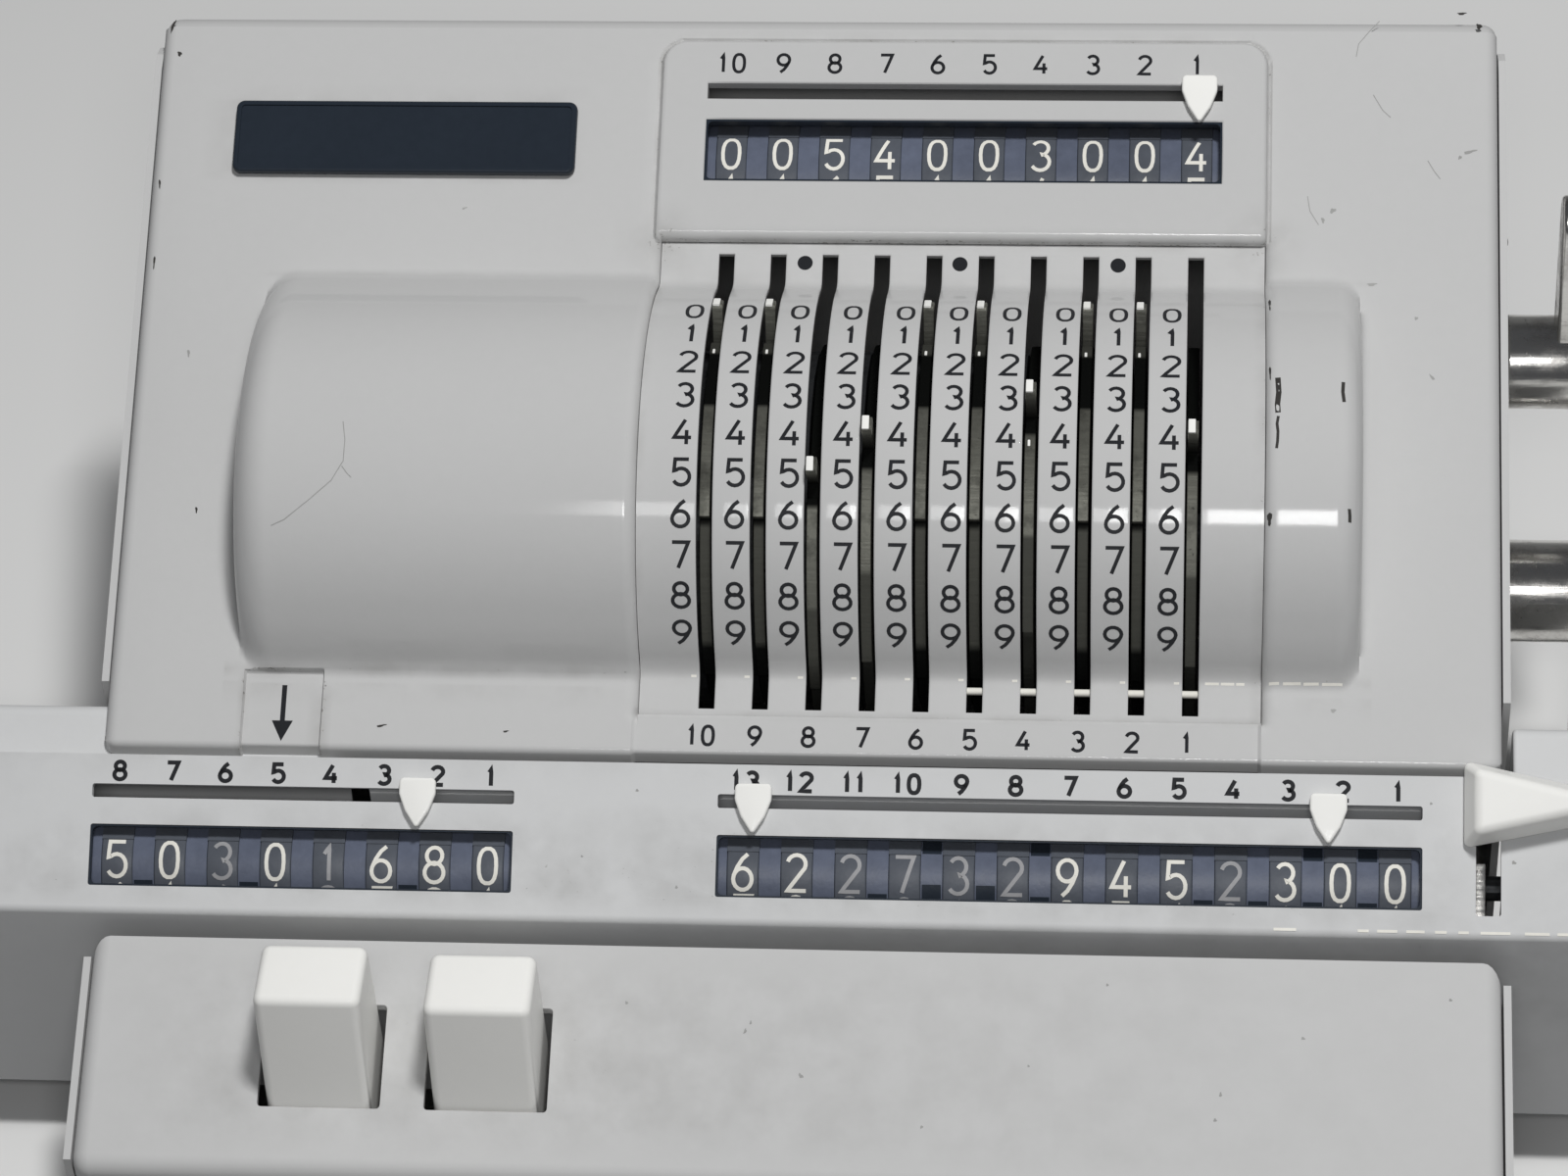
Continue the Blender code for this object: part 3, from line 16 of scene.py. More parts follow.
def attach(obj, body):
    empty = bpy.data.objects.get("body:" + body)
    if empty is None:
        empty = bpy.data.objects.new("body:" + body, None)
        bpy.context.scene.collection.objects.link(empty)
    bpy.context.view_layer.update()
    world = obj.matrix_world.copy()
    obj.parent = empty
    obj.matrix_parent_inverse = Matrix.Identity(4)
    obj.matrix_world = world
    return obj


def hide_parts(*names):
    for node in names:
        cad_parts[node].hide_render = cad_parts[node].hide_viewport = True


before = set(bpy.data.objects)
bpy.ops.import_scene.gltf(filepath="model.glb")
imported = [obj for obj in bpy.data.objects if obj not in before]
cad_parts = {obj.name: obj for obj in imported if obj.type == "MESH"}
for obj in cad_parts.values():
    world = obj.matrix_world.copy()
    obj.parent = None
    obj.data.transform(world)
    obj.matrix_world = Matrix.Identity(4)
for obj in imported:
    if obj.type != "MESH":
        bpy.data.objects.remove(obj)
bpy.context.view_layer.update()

# %% [markdown]
# ## One set of measures
# All shapes are drawn in millimetres from the rotor's axis, where X is zero at setting
# column 1. The machine has three sloping faces: the casing, the carriage and the front
# deck. A function for each turns a distance along the face and a height above it into a
# point, so that a window or a printed figure is placed as a maker would mark it out.

# %% Measures and the three sloping faces
MM = 0.001
AXIS = Vector((0.0504, 0.0195, 0.072))
SLOPE = radians(26.2)
DECK_SLOPE = radians(22)
FACE_SLOPE = radians(35)
PITCH = 8.5
SHEET = 1.2
CASING_LEFT, CASING_RIGHT, CASING_HEIGHT = -172.8, 48.8, 19.5
CASING_FRONT, CASING_BACK, CASING_FLOOR = -45.2, 70.0, -61.0
FACE_BACK, FACE_BACK_DROP, FACE_LENGTH = 50.6, 2.6, 25.0
DECK_BACK, DECK_BACK_DROP, DECK_FRONT = 73.2, 19.4, 109.0
COUNTER_1_X, RESULT_1_X = -110.2, 32.3
REGISTERS = {"check": (0.0, 10), "counter": (COUNTER_1_X, 8), "result": (RESULT_1_X, 13)}


def casing_point(x, along, above):
    """A point on the casing's slope"""
    return (x, along * cos(SLOPE) - above * sin(SLOPE), along * sin(SLOPE) + above * cos(SLOPE))


def carriage_point(x, down, above):
    """A point on the carriage's face, measured down from its back edge"""
    return (x, -FACE_BACK - down * cos(FACE_SLOPE) - above * sin(FACE_SLOPE),
            -FACE_BACK_DROP - down * sin(FACE_SLOPE) + above * cos(FACE_SLOPE))


def deck_point(x, forward, above):
    """A point on the front deck, measured forward from the axis"""
    return (x, -forward, above - DECK_BACK_DROP - (forward - DECK_BACK) * tan(DECK_SLOPE))


def window_span(register):
    """Left and right end of the window over a register"""
    first, columns = REGISTERS[register]
    return first - (columns - 1) * PITCH - 4.1, first + 4.1


print("check window, mm:", window_span("check"))

# %% [markdown]
# ## Helpers for sheet metal
# Most of the outside is pressed sheet. A pressed cover is drawn here as a grid of points
# on its outer face and a second grid on its inner face. Cells that are left out become
# windows and slots, and a wall closes every border, so the cover is a real sheet with a
# thickness. Grid lines are packed close together only where the sheet bends.

# %% Mesh helpers
def mesh_piece(name, points, faces, finish, angle=35):
    """A closed piece from points in millimetres, with its faces turned outwards"""
    builder = bmesh.new()
    verts = [builder.verts.new(AXIS + MM * Vector(point)) for point in points]
    for face in faces:
        builder.faces.new([verts[index] for index in face])
    loose = [vert for vert in builder.verts if not vert.link_faces]
    bmesh.ops.delete(builder, geom=loose, context="VERTS")
    bmesh.ops.remove_doubles(builder, verts=builder.verts, dist=2e-6)
    bmesh.ops.dissolve_degenerate(builder, edges=builder.edges, dist=1e-6)
    bmesh.ops.recalc_face_normals(builder, faces=builder.faces)
    mesh = bpy.data.meshes.new(name)
    builder.to_mesh(mesh)
    builder.free()
    return mesh_object(name, mesh, finish, angle)


def mesh_object(name, mesh, finish, angle=35):
    """Puts a mesh in the scene with its finish and its smooth shading"""
    mesh.shade_smooth()
    mesh.set_sharp_from_angle(angle=radians(angle))
    mesh.materials.clear()
    if finish:
        mesh.materials.append(finish)
    piece = bpy.data.objects.new(name, mesh)
    bpy.context.scene.collection.objects.link(piece)
    return piece


def sheet_piece(name, outer, inner, is_open, finish):
    """A sheet between two grids of points; open cells are left out"""
    rows, columns = len(outer), len(outer[0])
    points = [point for row in outer for point in row] + [point for row in inner for point in row]
    deep = rows * columns
    filled = {(row, column) for row in range(rows - 1) for column in range(columns - 1)
              if not is_open(row, column)}
    faces = []
    for row, column in filled:
        corners = [row * columns + column, row * columns + column + 1,
                   (row + 1) * columns + column + 1, (row + 1) * columns + column]
        faces.append(corners)
        faces.append([corner + deep for corner in reversed(corners)])
        beside = ((row - 1, column), (row, column + 1), (row + 1, column), (row, column - 1))
        for side, neighbour in enumerate(beside):
            if neighbour not in filled:
                first, second = corners[side], corners[(side + 1) % 4]
                faces.append([second, first, first + deep, second + deep])
    return mesh_piece(name, points, faces, finish)


def spread(*parts):
    """Sorted grid lines from (start, end, step) parts, without near doubles"""
    lines = []
    for start, end, step in parts:
        count = max(1, round((end - start) / step))
        lines += [start + (end - start) * index / count for index in range(count + 1)]
    lines.sort()
    kept = lines[:1]
    for line in lines[1:]:
        if line - kept[-1] > 0.012:
            kept.append(line)
    return kept


def edge_fall(distance, run, depth):
    """How far a rolled edge lies below its face, at a distance from the edge"""
    if distance >= run:
        return 0.0
    share = 1 - max(distance, 0.0) / run
    return depth * (1 - sqrt(1 - share * share))


def box_distance(x, y, left, right, front, back, radius=0.0):
    """Distance outside a rectangle with round corners; negative inside"""
    reach_x = abs(x - (left + right) / 2) - (right - left) / 2 + radius
    reach_y = abs(y - (front + back) / 2) - (back - front) / 2 + radius
    outside = hypot(max(reach_x, 0.0), max(reach_y, 0.0))
    return outside + min(max(reach_x, reach_y), 0.0) - radius


def soft_max(first, second, blend):
    """The higher of two heights, with a fillet where they meet"""
    close = max(blend - abs(first - second), 0.0) / blend
    return max(first, second) + close * close * blend / 4


print("grid lines example:", spread((0, 1, 0.5), (1, 4, 1)))

# %% [markdown]
# ## Turned and drawn-out pieces
# Shafts, hubs and wheels are turned on a lathe, so they are a profile swept about an
# axis. Levers, keys and carriage parts are an outline drawn out along X. Both helpers
# round their edges, because no real edge is a knife edge and a round one catches light.

# %% Profiles, outlines and cuts
def corner_arc(before, corner, after, radius, steps=8):
    """Points of the arc that rounds a corner of an outline"""
    first = (Vector(before) - Vector(corner)).normalized()
    second = (Vector(after) - Vector(corner)).normalized()
    half = first.angle(second) / 2
    centre = Vector(corner) + (first + second).normalized() * (radius / sin(half))
    start = Vector(corner) + first * (radius / tan(half)) - centre
    end = Vector(corner) + second * (radius / tan(half)) - centre
    turn = atan2(start.x * end.y - start.y * end.x, start.dot(end))
    return [tuple(centre + Matrix.Rotation(turn * step / steps, 2) @ start)
            for step in range(steps + 1)]


def round_outline(corners, steps=8):
    """An outline from corners of (first, second, radius)"""
    outline = []
    for index, (y, z, radius) in enumerate(corners):
        if radius:
            before = corners[index - 1][:2]
            after = corners[(index + 1) % len(corners)][:2]
            outline += corner_arc(before, (y, z), after, radius, steps)
        else:
            outline.append((y, z))
    return outline


def shrink(outline, distance):
    """The outline moved inwards, with mitred corners"""
    area = sum(a[0] * b[1] - a[1] * b[0] for a, b in zip(outline, outline[1:] + outline[:1]))
    side = 1.0 if area > 0 else -1.0
    moved = []
    for before, point, after in zip(outline[-1:] + outline[:-1], outline, outline[1:] + outline[:1]):
        into = (Vector(point) - Vector(before)).normalized()
        out = (Vector(after) - Vector(point)).normalized()
        middle = Vector((-into.y - out.y, into.x + out.x)) * side
        shift = middle * (2 * distance / middle.dot(middle))
        moved.append((point[0] + shift.x, point[1] + shift.y))
    return moved


def drawn(name, outline, left, right, edge, finish, steps=4, to_point=None):
    """An outline in Y and Z drawn out along X, with both ends rounded by the edge"""
    to_point = to_point or (lambda x, y, z: (x, y, z))
    rings = []
    turns = [pi / 2 * step / steps for step in range(steps)] if edge else []
    for turn in turns:
        rings.append((left + edge * (1 - cos(turn)), edge * (1 - sin(turn))))
    rings += [(left + edge, 0.0), (right - edge, 0.0)]
    for turn in reversed(turns):
        rings.append((right - edge * (1 - cos(turn)), edge * (1 - sin(turn))))
    points = []
    for x, inset in rings:
        ring = shrink(outline, inset) if inset else outline
        points += [to_point(x, y, z) for y, z in ring]
    count = len(outline)
    faces = [list(range(count)), [len(points) - count + index for index in reversed(range(count))]]
    for ring in range(len(rings) - 1):
        for index in range(count):
            low, follow = ring * count + index, ring * count + (index + 1) % count
            faces.append([low, follow, follow + count, low + count])
    return mesh_piece(name, points, faces, finish)


def turned(name, profile, centre, finish, steps=64):
    """A profile of (x, radius) turned about a line along X through centre (y, z)"""
    points = []
    faces = []
    rings = []
    for x, radius in profile:
        rings.append(len(points))
        around = steps if radius else 1
        for index in range(around):
            angle = 2 * pi * index / steps
            points.append((x, centre[0] + radius * cos(angle), centre[1] + radius * sin(angle)))
    pairs = list(zip(range(len(rings)), range(1, len(rings))))
    if profile[0][1] and profile[-1][1]:
        pairs.append((len(rings) - 1, 0))
    for low, high in pairs:
        for index in range(steps):
            follow = (index + 1) % steps
            ring = [rings[low] + index, rings[low] + follow, rings[high] + follow, rings[high] + index]
            if not profile[low][1]:
                ring = [rings[low], rings[high] + follow, rings[high] + index]
            elif not profile[high][1]:
                ring = [rings[low] + index, rings[low] + follow, rings[high]]
            faces.append(ring)
    return mesh_piece(name, points, faces, finish)


def soft_profile(corners, steps=6):
    """A turning profile from corners of (x, radius, rounding)"""
    profile = []
    for index, (x, radius, rounding) in enumerate(corners):
        if rounding:
            profile += corner_arc(corners[index - 1][:2], (x, radius), corners[index + 1][:2],
                                  rounding, steps)
        else:
            profile.append((x, radius))
    return profile


def settle(piece):
    """Bakes the piece's modifiers into its mesh"""
    graph = bpy.context.evaluated_depsgraph_get()
    finished = bpy.data.meshes.new_from_object(piece.evaluated_get(graph))
    piece.modifiers.clear()
    old = piece.data
    piece.data = finished
    bpy.data.meshes.remove(old)
    finished.name = piece.name
    return piece


def carve(piece, *tools, operation="DIFFERENCE", angle=35):
    """Cuts tools out of a piece, or joins them to it"""
    for tool in tools:
        modifier = piece.modifiers.new(tool.name, "BOOLEAN")
        modifier.operation = operation
        modifier.solver = "EXACT"
        modifier.object = tool
    settle(piece)
    for tool in tools:
        mesh = tool.data
        bpy.data.objects.remove(tool)
        bpy.data.meshes.remove(mesh)
    piece.data.shade_smooth()
    piece.data.set_sharp_from_angle(angle=radians(angle))
    return piece


def soften(piece, width, steps=2, angle=40):
    """Rounds the sharp edges of a piece"""
    modifier = piece.modifiers.new("rounding", "BEVEL")
    modifier.width = width * MM
    modifier.segments = steps
    modifier.limit_method = "ANGLE"
    modifier.angle_limit = radians(angle)
    modifier.miter_outer = "MITER_ARC"
    settle(piece)
    piece.data.shade_smooth()
    piece.data.set_sharp_from_angle(angle=radians(50))
    return level_normals(piece)


def level_normals(piece):
    """Lets the large faces of a piece set its shading, so that flat sheet looks flat"""
    modifier = piece.modifiers.new("weights", "WEIGHTED_NORMAL")
    modifier.keep_sharp = True
    modifier.weight = 80
    return settle(piece)


def mount(piece, body, slot, *nodes):
    """Hangs a finished piece on its body, in place of the plain solids that it stands for"""
    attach(piece, body)
    if nodes:
        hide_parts(*nodes)
    return piece


print("helpers ready")

# %% [markdown]
# ## Enamel, metal and plastic
# The casing is steel with a stoved enamel: a semi-gloss coat whose surface is faintly
# mottled, with grey dust in the corners that a cloth never reaches. A shader group makes
# the mottling and the fine bumps for every coat, so all the coats share one recipe and
# differ only in colour and amount. A mask that each cover's mesh carries darkens the coat
# in corners, creases and along edges. This is dirt, and also painted shade where shade falls.
# It is worked out from places that the maker knows, not from noise.

# %% Shader groups
def group_socket(tree, name, kind, default=None, out=False):
    """One input or output of a shader group"""
    socket = tree.interface.new_socket(name=name, in_out="OUTPUT" if out else "INPUT",
                                       socket_type=kind)
    if default is not None:
        socket.default_value = default
    return socket


def add_node(tree, kind, **settings):
    """A node with its settings and the values of its inputs"""
    node = tree.nodes.new(kind)
    for key, value in settings.items():
        if hasattr(node, key):
            setattr(node, key, value)
        else:
            node.inputs[key.replace("_", " ")].default_value = value
    return node


def math_node(tree, operation, first, second=None):
    """One arithmetic step; inputs are sockets or numbers"""
    node = tree.nodes.new("ShaderNodeMath")
    node.operation = operation
    node.use_clamp = operation == "MULTIPLY_ADD"
    for index, value in enumerate((first, second)):
        if isinstance(value, (int, float)):
            node.inputs[index].default_value = value
        elif value is not None:
            tree.links.new(value, node.inputs[index])
    return node.outputs[0]


def mix_colours(tree, factor, first, second):
    """Mixes two colours, each a socket or a value"""
    node = tree.nodes.new("ShaderNodeMix")
    node.data_type = "RGBA"
    for socket, value in ((node.inputs["Factor"], factor), (node.inputs[6], first),
                          (node.inputs[7], second)):
        if isinstance(value, bpy.types.NodeSocket):
            tree.links.new(value, socket)
        else:
            socket.default_value = value
    return node.outputs[2]


def noise(tree, vector, scale, detail=3.0, roughness=0.5):
    """The height of a noise pattern on object coordinates"""
    node = add_node(tree, "ShaderNodeTexNoise", Scale=scale, Detail=detail, Roughness=roughness)
    tree.links.new(vector, node.inputs["Vector"])
    return node.outputs["Fac"]


def ramp(tree, value, low, high):
    """Stretches a value so that low becomes 0 and high becomes 1"""
    node = tree.nodes.new("ShaderNodeMapRange")
    tree.links.new(value, node.inputs["Value"])
    node.inputs["From Min"].default_value = low
    node.inputs["From Max"].default_value = high
    return node.outputs["Result"]


def build_coat_group():
    """Mottling, specks, a darker film where the mask is strong (dirt and painted shade) and fine bumps
    of a stoved or moulded surface
    """
    tree = bpy.data.node_groups.new("coat_surface", "ShaderNodeTree")
    group_socket(tree, "Colour", "NodeSocketColor", (0.5, 0.5, 0.5, 1))
    group_socket(tree, "Dirt And Shade Colour", "NodeSocketColor", (0.12, 0.11, 0.09, 1))
    group_socket(tree, "Dirt And Shade Mask", "NodeSocketFloat", 0.0)
    group_socket(tree, "Mottle", "NodeSocketFloat", 0.06)
    group_socket(tree, "Specks", "NodeSocketFloat", 0.3)
    group_socket(tree, "Gloss Roughness", "NodeSocketFloat", 0.35)
    group_socket(tree, "Colour", "NodeSocketColor", out=True)
    group_socket(tree, "Roughness", "NodeSocketFloat", out=True)
    group_socket(tree, "Height", "NodeSocketFloat", out=True)
    inside = tree.nodes.new("NodeGroupInput")
    outside = tree.nodes.new("NodeGroupOutput")
    place = tree.nodes.new("ShaderNodeTexCoord").outputs["Object"]
    fine = noise(tree, place, 1400, 2.0)
    broad = noise(tree, place, 26, 4.0, 0.6)
    grain = noise(tree, place, 520, 3.0, 0.6)
    # Mottling lightens and darkens the coat by a few parts in a hundred.
    shade = math_node(tree, "ADD", math_node(tree, "MULTIPLY", broad, 0.6),
                      math_node(tree, "MULTIPLY", grain, 0.4))
    shade = math_node(tree, "MULTIPLY", math_node(tree, "SUBTRACT", shade, 0.5),
                      inside.outputs["Mottle"])
    brightness = tree.nodes.new("ShaderNodeHueSaturation")
    tree.links.new(inside.outputs["Colour"], brightness.inputs["Color"])
    tree.links.new(math_node(tree, "ADD", math_node(tree, "MULTIPLY", shade, 2.0), 1.0),
                   brightness.inputs["Value"])
    # Dust lies as specks: dense where the mask is strong, rare elsewhere.
    speck = noise(tree, place, 1150, 2.0, 0.75)
    patch = noise(tree, place, 120, 3.0, 0.6)
    limit = math_node(tree, "SUBTRACT", 0.80,
                      math_node(tree, "MULTIPLY", inside.outputs["Dirt And Shade Mask"], 0.36))
    over = math_node(tree, "SUBTRACT", math_node(tree, "ADD", math_node(tree, "MULTIPLY", speck, 0.75),
                                                 math_node(tree, "MULTIPLY", patch, 0.25)), limit)
    dust_and_shade = math_node(tree, "MINIMUM",
                     math_node(tree, "MAXIMUM", math_node(tree, "MULTIPLY", over, 9.0), 0.0), 1.0)
    # Where the mask is strong, a patchy film darkens the coat: dirt, and painted shade in corners and
    # along edges.
    film = math_node(tree, "MULTIPLY", inside.outputs["Dirt And Shade Mask"], ramp(tree, patch, 0.35, 0.75))
    film = math_node(tree, "MULTIPLY", film, 0.45)
    dust_and_shade = math_node(tree, "MAXIMUM", math_node(tree, "MULTIPLY", dust_and_shade, inside.outputs["Specks"]), film)
    colour = mix_colours(tree, dust_and_shade, brightness.outputs["Color"], inside.outputs["Dirt And Shade Colour"])
    tree.links.new(colour, outside.inputs["Colour"])
    rough = math_node(tree, "ADD", inside.outputs["Gloss Roughness"],
                      math_node(tree, "MULTIPLY", dust_and_shade, 0.35))
    rough = math_node(tree, "ADD", rough, math_node(tree, "MULTIPLY", shade, 0.6))
    tree.links.new(rough, outside.inputs["Roughness"])
    height = math_node(tree, "ADD", math_node(tree, "MULTIPLY", fine, 0.35),
                       math_node(tree, "MULTIPLY", grain, 0.65))
    tree.links.new(height, outside.inputs["Height"])
    return tree


def build_metal_group():
    """Oil stains, pits and fine scratches of bare or plated metal, and painted shade where the mask
    darkens it
    """
    tree = bpy.data.node_groups.new("metal_surface", "ShaderNodeTree")
    group_socket(tree, "Colour", "NodeSocketColor", (0.6, 0.6, 0.58, 1))
    group_socket(tree, "Stain And Shade Colour", "NodeSocketColor", (0.08, 0.06, 0.05, 1))
    group_socket(tree, "Stain", "NodeSocketFloat", 0.4)
    group_socket(tree, "Dirt And Shade Mask", "NodeSocketFloat", 0.0)
    group_socket(tree, "Polish Roughness", "NodeSocketFloat", 0.25)
    group_socket(tree, "Colour", "NodeSocketColor", out=True)
    group_socket(tree, "Roughness", "NodeSocketFloat", out=True)
    group_socket(tree, "Height", "NodeSocketFloat", out=True)
    inside = tree.nodes.new("NodeGroupInput")
    outside = tree.nodes.new("NodeGroupOutput")
    place = tree.nodes.new("ShaderNodeTexCoord").outputs["Object"]
    along = add_node(tree, "ShaderNodeMapping")
    along.inputs["Scale"].default_value = (0.06, 1.0, 1.0)
    tree.links.new(place, along.inputs["Vector"])
    streak = noise(tree, along.outputs[0], 1500, 2.0)
    blotch = noise(tree, place, 170, 5.0, 0.7)
    pit = noise(tree, place, 900, 3.0, 0.7)
    stain_and_shade = math_node(tree, "MULTIPLY", ramp(tree, blotch, 0.45, 0.72), inside.outputs["Stain"])
    pits = math_node(tree, "MULTIPLY", ramp(tree, pit, 0.62, 0.72), inside.outputs["Stain"])
    stain_and_shade = math_node(tree, "MAXIMUM", math_node(tree, "MAXIMUM", stain_and_shade, pits),
                      inside.outputs["Dirt And Shade Mask"])
    tree.links.new(mix_colours(tree, stain_and_shade, inside.outputs["Colour"], inside.outputs["Stain And Shade Colour"]),
                   outside.inputs["Colour"])
    rough = math_node(tree, "ADD", inside.outputs["Polish Roughness"],
                      math_node(tree, "MULTIPLY", stain_and_shade, 0.4))
    rough = math_node(tree, "ADD", rough, math_node(tree, "MULTIPLY", streak, 0.10))
    tree.links.new(rough, outside.inputs["Roughness"])
    tree.links.new(math_node(tree, "ADD", streak, math_node(tree, "MULTIPLY", pit, 0.5)),
                   outside.inputs["Height"])
    return tree


COAT = build_coat_group()
METAL = build_metal_group()
print("shader groups:", COAT.name, METAL.name)

# %% [markdown]
# ## The finishes
# Each finish places a group, gives it its own colours and amounts, and feeds one shader.
# Numbers that are the same all over the surface are set on the shader itself.

# %% Make the finishes
def finish_from(name, group, values, bump, metallic=0.0, coat=0.0, specular=0.5, mask=None,
                polish=None):
    """A material around one surface group"""
    finish = bpy.data.materials.new(name)
    finish.use_nodes = True
    tree = finish.node_tree
    shader = tree.nodes["Principled BSDF"]
    surface = tree.nodes.new("ShaderNodeGroup")
    surface.node_tree = group
    for key, value in values.items():
        surface.inputs[key].default_value = (*value, 1) if isinstance(value, tuple) else value
    if mask:
        attribute = add_node(tree, "ShaderNodeAttribute", attribute_name=mask)
        tree.links.new(attribute.outputs["Fac"], surface.inputs["Dirt And Shade Mask"])
    tree.links.new(surface.outputs["Colour"], shader.inputs["Base Color"])
    tree.links.new(surface.outputs["Roughness"], shader.inputs["Roughness"])
    relief = tree.nodes.new("ShaderNodeBump")
    relief.inputs["Strength"].default_value = bump
    relief.inputs["Distance"].default_value = 0.0002
    tree.links.new(surface.outputs["Height"], relief.inputs["Height"])
    tree.links.new(relief.outputs["Normal"], shader.inputs["Normal"])
    shader.inputs["Metallic"].default_value = metallic
    shader.inputs["Coat Weight"].default_value = coat
    shader.inputs["Coat Roughness"].default_value = 0.08
    if polish:
        rubbed = add_node(tree, "ShaderNodeAttribute", attribute_name=polish)
        tree.links.new(math_node(tree, "MULTIPLY", rubbed.outputs["Fac"], coat),
                       shader.inputs["Coat Weight"])
    shader.inputs["Specular IOR Level"].default_value = specular
    values_seen = values.get("Colour", (0.5, 0.5, 0.5))
    finish.diffuse_color = (*values_seen, 1)
    return finish


enamel = finish_from("grey_enamel_coat", COAT, {
    "Colour": (0.575, 0.575, 0.57), "Mottle": 0.04, "Specks": 0.75, "Gloss Roughness": 0.58},
    0.10, coat=0.6, mask="dirt_and_shade", polish="polish")
# The deck is the casing's enamel painted a little lighter, so its colour carries painted light.
deck_coat_painted_lighter = finish_from("deck_enamel_painted_lighter", COAT, {
    "Colour": (0.60, 0.60, 0.595), "Mottle": 0.04, "Specks": 0.5, "Gloss Roughness": 0.58},
    0.10, mask="dirt_and_shade")
# The carriage is the casing's enamel painted lighter still, so its colour carries painted light.
carriage_coat_painted_lighter = finish_from("carriage_enamel_painted_lighter", COAT, {
    "Colour": (0.66, 0.665, 0.665), "Mottle": 0.04, "Specks": 0.6, "Gloss Roughness": 0.58},
    0.10, mask="dirt_and_shade")
plastic_and_glint = finish_from("white_moulding_and_glint", COAT, {
    "Colour": (0.94, 0.935, 0.90), "Dirt And Shade Colour": (0.45, 0.43, 0.36), "Mottle": 0.03,
    "Specks": 0.3, "Gloss Roughness": 0.42}, 0.10, coat=0.1)
# The dark slate also makes painted shadows: the rims inside the windows and the slips between the
# spacers.
slate_and_shadow = finish_from("slate_plate_and_shadow_coat", COAT, {
    "Colour": (0.020, 0.027, 0.038), "Dirt And Shade Colour": (0.12, 0.12, 0.12), "Mottle": 0.25,
    "Specks": 0.4, "Gloss Roughness": 0.42}, 0.25, specular=0.3)
wheel_black = finish_from("number_wheel_coat", COAT, {
    "Colour": (0.095, 0.105, 0.125), "Dirt And Shade Colour": (0.14, 0.13, 0.12), "Mottle": 0.4,
    "Specks": 0.5, "Gloss Roughness": 0.42}, 0.3)
spacer_blue = finish_from("spacer_enamel", COAT, {
    "Colour": (0.118, 0.135, 0.185), "Dirt And Shade Colour": (0.04, 0.042, 0.055), "Mottle": 0.5,
    "Specks": 0.8, "Gloss Roughness": 0.4}, 0.35)
# The white figure paint also makes painted highlights: the strokes along the bends and the rod behind
# the slots.
figure_and_highlight_white = finish_from("figure_and_painted_highlight_paint", COAT, {
    "Colour": (0.86, 0.84, 0.77), "Dirt And Shade Colour": (0.30, 0.28, 0.22), "Mottle": 0.25,
    "Specks": 0.4, "Gloss Roughness": 0.5}, 0.2)
figure_worn = finish_from("worn_figure_paint", COAT, {
    "Colour": (0.36, 0.36, 0.37), "Dirt And Shade Colour": (0.16, 0.16, 0.17), "Mottle": 0.5,
    "Specks": 0.7, "Gloss Roughness": 0.5}, 0.2)
print_ink = finish_from("printing_ink", COAT, {
    "Colour": (0.022, 0.023, 0.026), "Dirt And Shade Colour": (0.10, 0.10, 0.10), "Mottle": 0.3,
    "Specks": 0.2, "Gloss Roughness": 0.5}, 0.1, specular=0.25)
bare_chip = finish_from("bare_metal_chip", COAT, {
    "Colour": (0.05, 0.048, 0.045), "Dirt And Shade Colour": (0.14, 0.09, 0.06), "Mottle": 0.6,
    "Specks": 0.8, "Gloss Roughness": 0.6}, 0.2, specular=0.3)
scuff_grey = finish_from("scuff_grey", COAT, {
    "Colour": (0.36, 0.36, 0.35), "Dirt And Shade Colour": (0.20, 0.20, 0.19), "Mottle": 0.5,
    "Specks": 0.8, "Gloss Roughness": 0.6}, 0.1)
chrome = finish_from("worn_chrome", METAL, {
    "Colour": (0.74, 0.73, 0.70), "Stain And Shade Colour": (0.16, 0.13, 0.12), "Stain": 0.45,
    "Polish Roughness": 0.13}, 0.12, metallic=1.0)
lever_steel = finish_from("lever_steel", METAL, {
    "Colour": (0.25, 0.25, 0.215), "Stain And Shade Colour": (0.010, 0.011, 0.010), "Stain": 0.55,
    "Polish Roughness": 0.44}, 0.5, metallic=0.7, mask="dirt_and_shade")
dark_steel = finish_from("oxide_steel", METAL, {
    "Colour": (0.10, 0.105, 0.11), "Stain And Shade Colour": (0.03, 0.03, 0.03), "Stain": 0.6,
    "Polish Roughness": 0.45}, 0.4, metallic=0.8)
frame_steel = finish_from("frame_steel_plate", METAL, {
    "Colour": (0.33, 0.33, 0.32), "Stain And Shade Colour": (0.12, 0.10, 0.08), "Stain": 0.4,
    "Polish Roughness": 0.42}, 0.3, metallic=0.7)
print("finishes:", len(bpy.data.materials))

# %% [markdown]
# ## The casing
# A height for every point of the slope describes it in full, so the grid helper can
# make it in one piece. The same numbers say where the coat is darkened: by dust, and by
# painted shade in the fillets and beside the edges.

# %% Heights of the casing
DRUM_LEFT, DRUM_RIGHT, DRUM_FRONT, DRUM_BACK = -87.2, 11.3, -38.2, 42.8
BULGE_LEFT, BULGE_RIGHT, BULGE_RADIUS, ROLL_BACK = -152.0, 26.5, 39.0, 2.1
PAD = (-88.3, 11.4, 43.1, 78.1)
NOTCH = (-150.7, -137.7, -60.0, -31.9)
CHECK_WINDOW = (*window_span("check"), 52.9, 63.8)
CHECK_SLOT = (*window_span("check"), 67.5, 70.3)


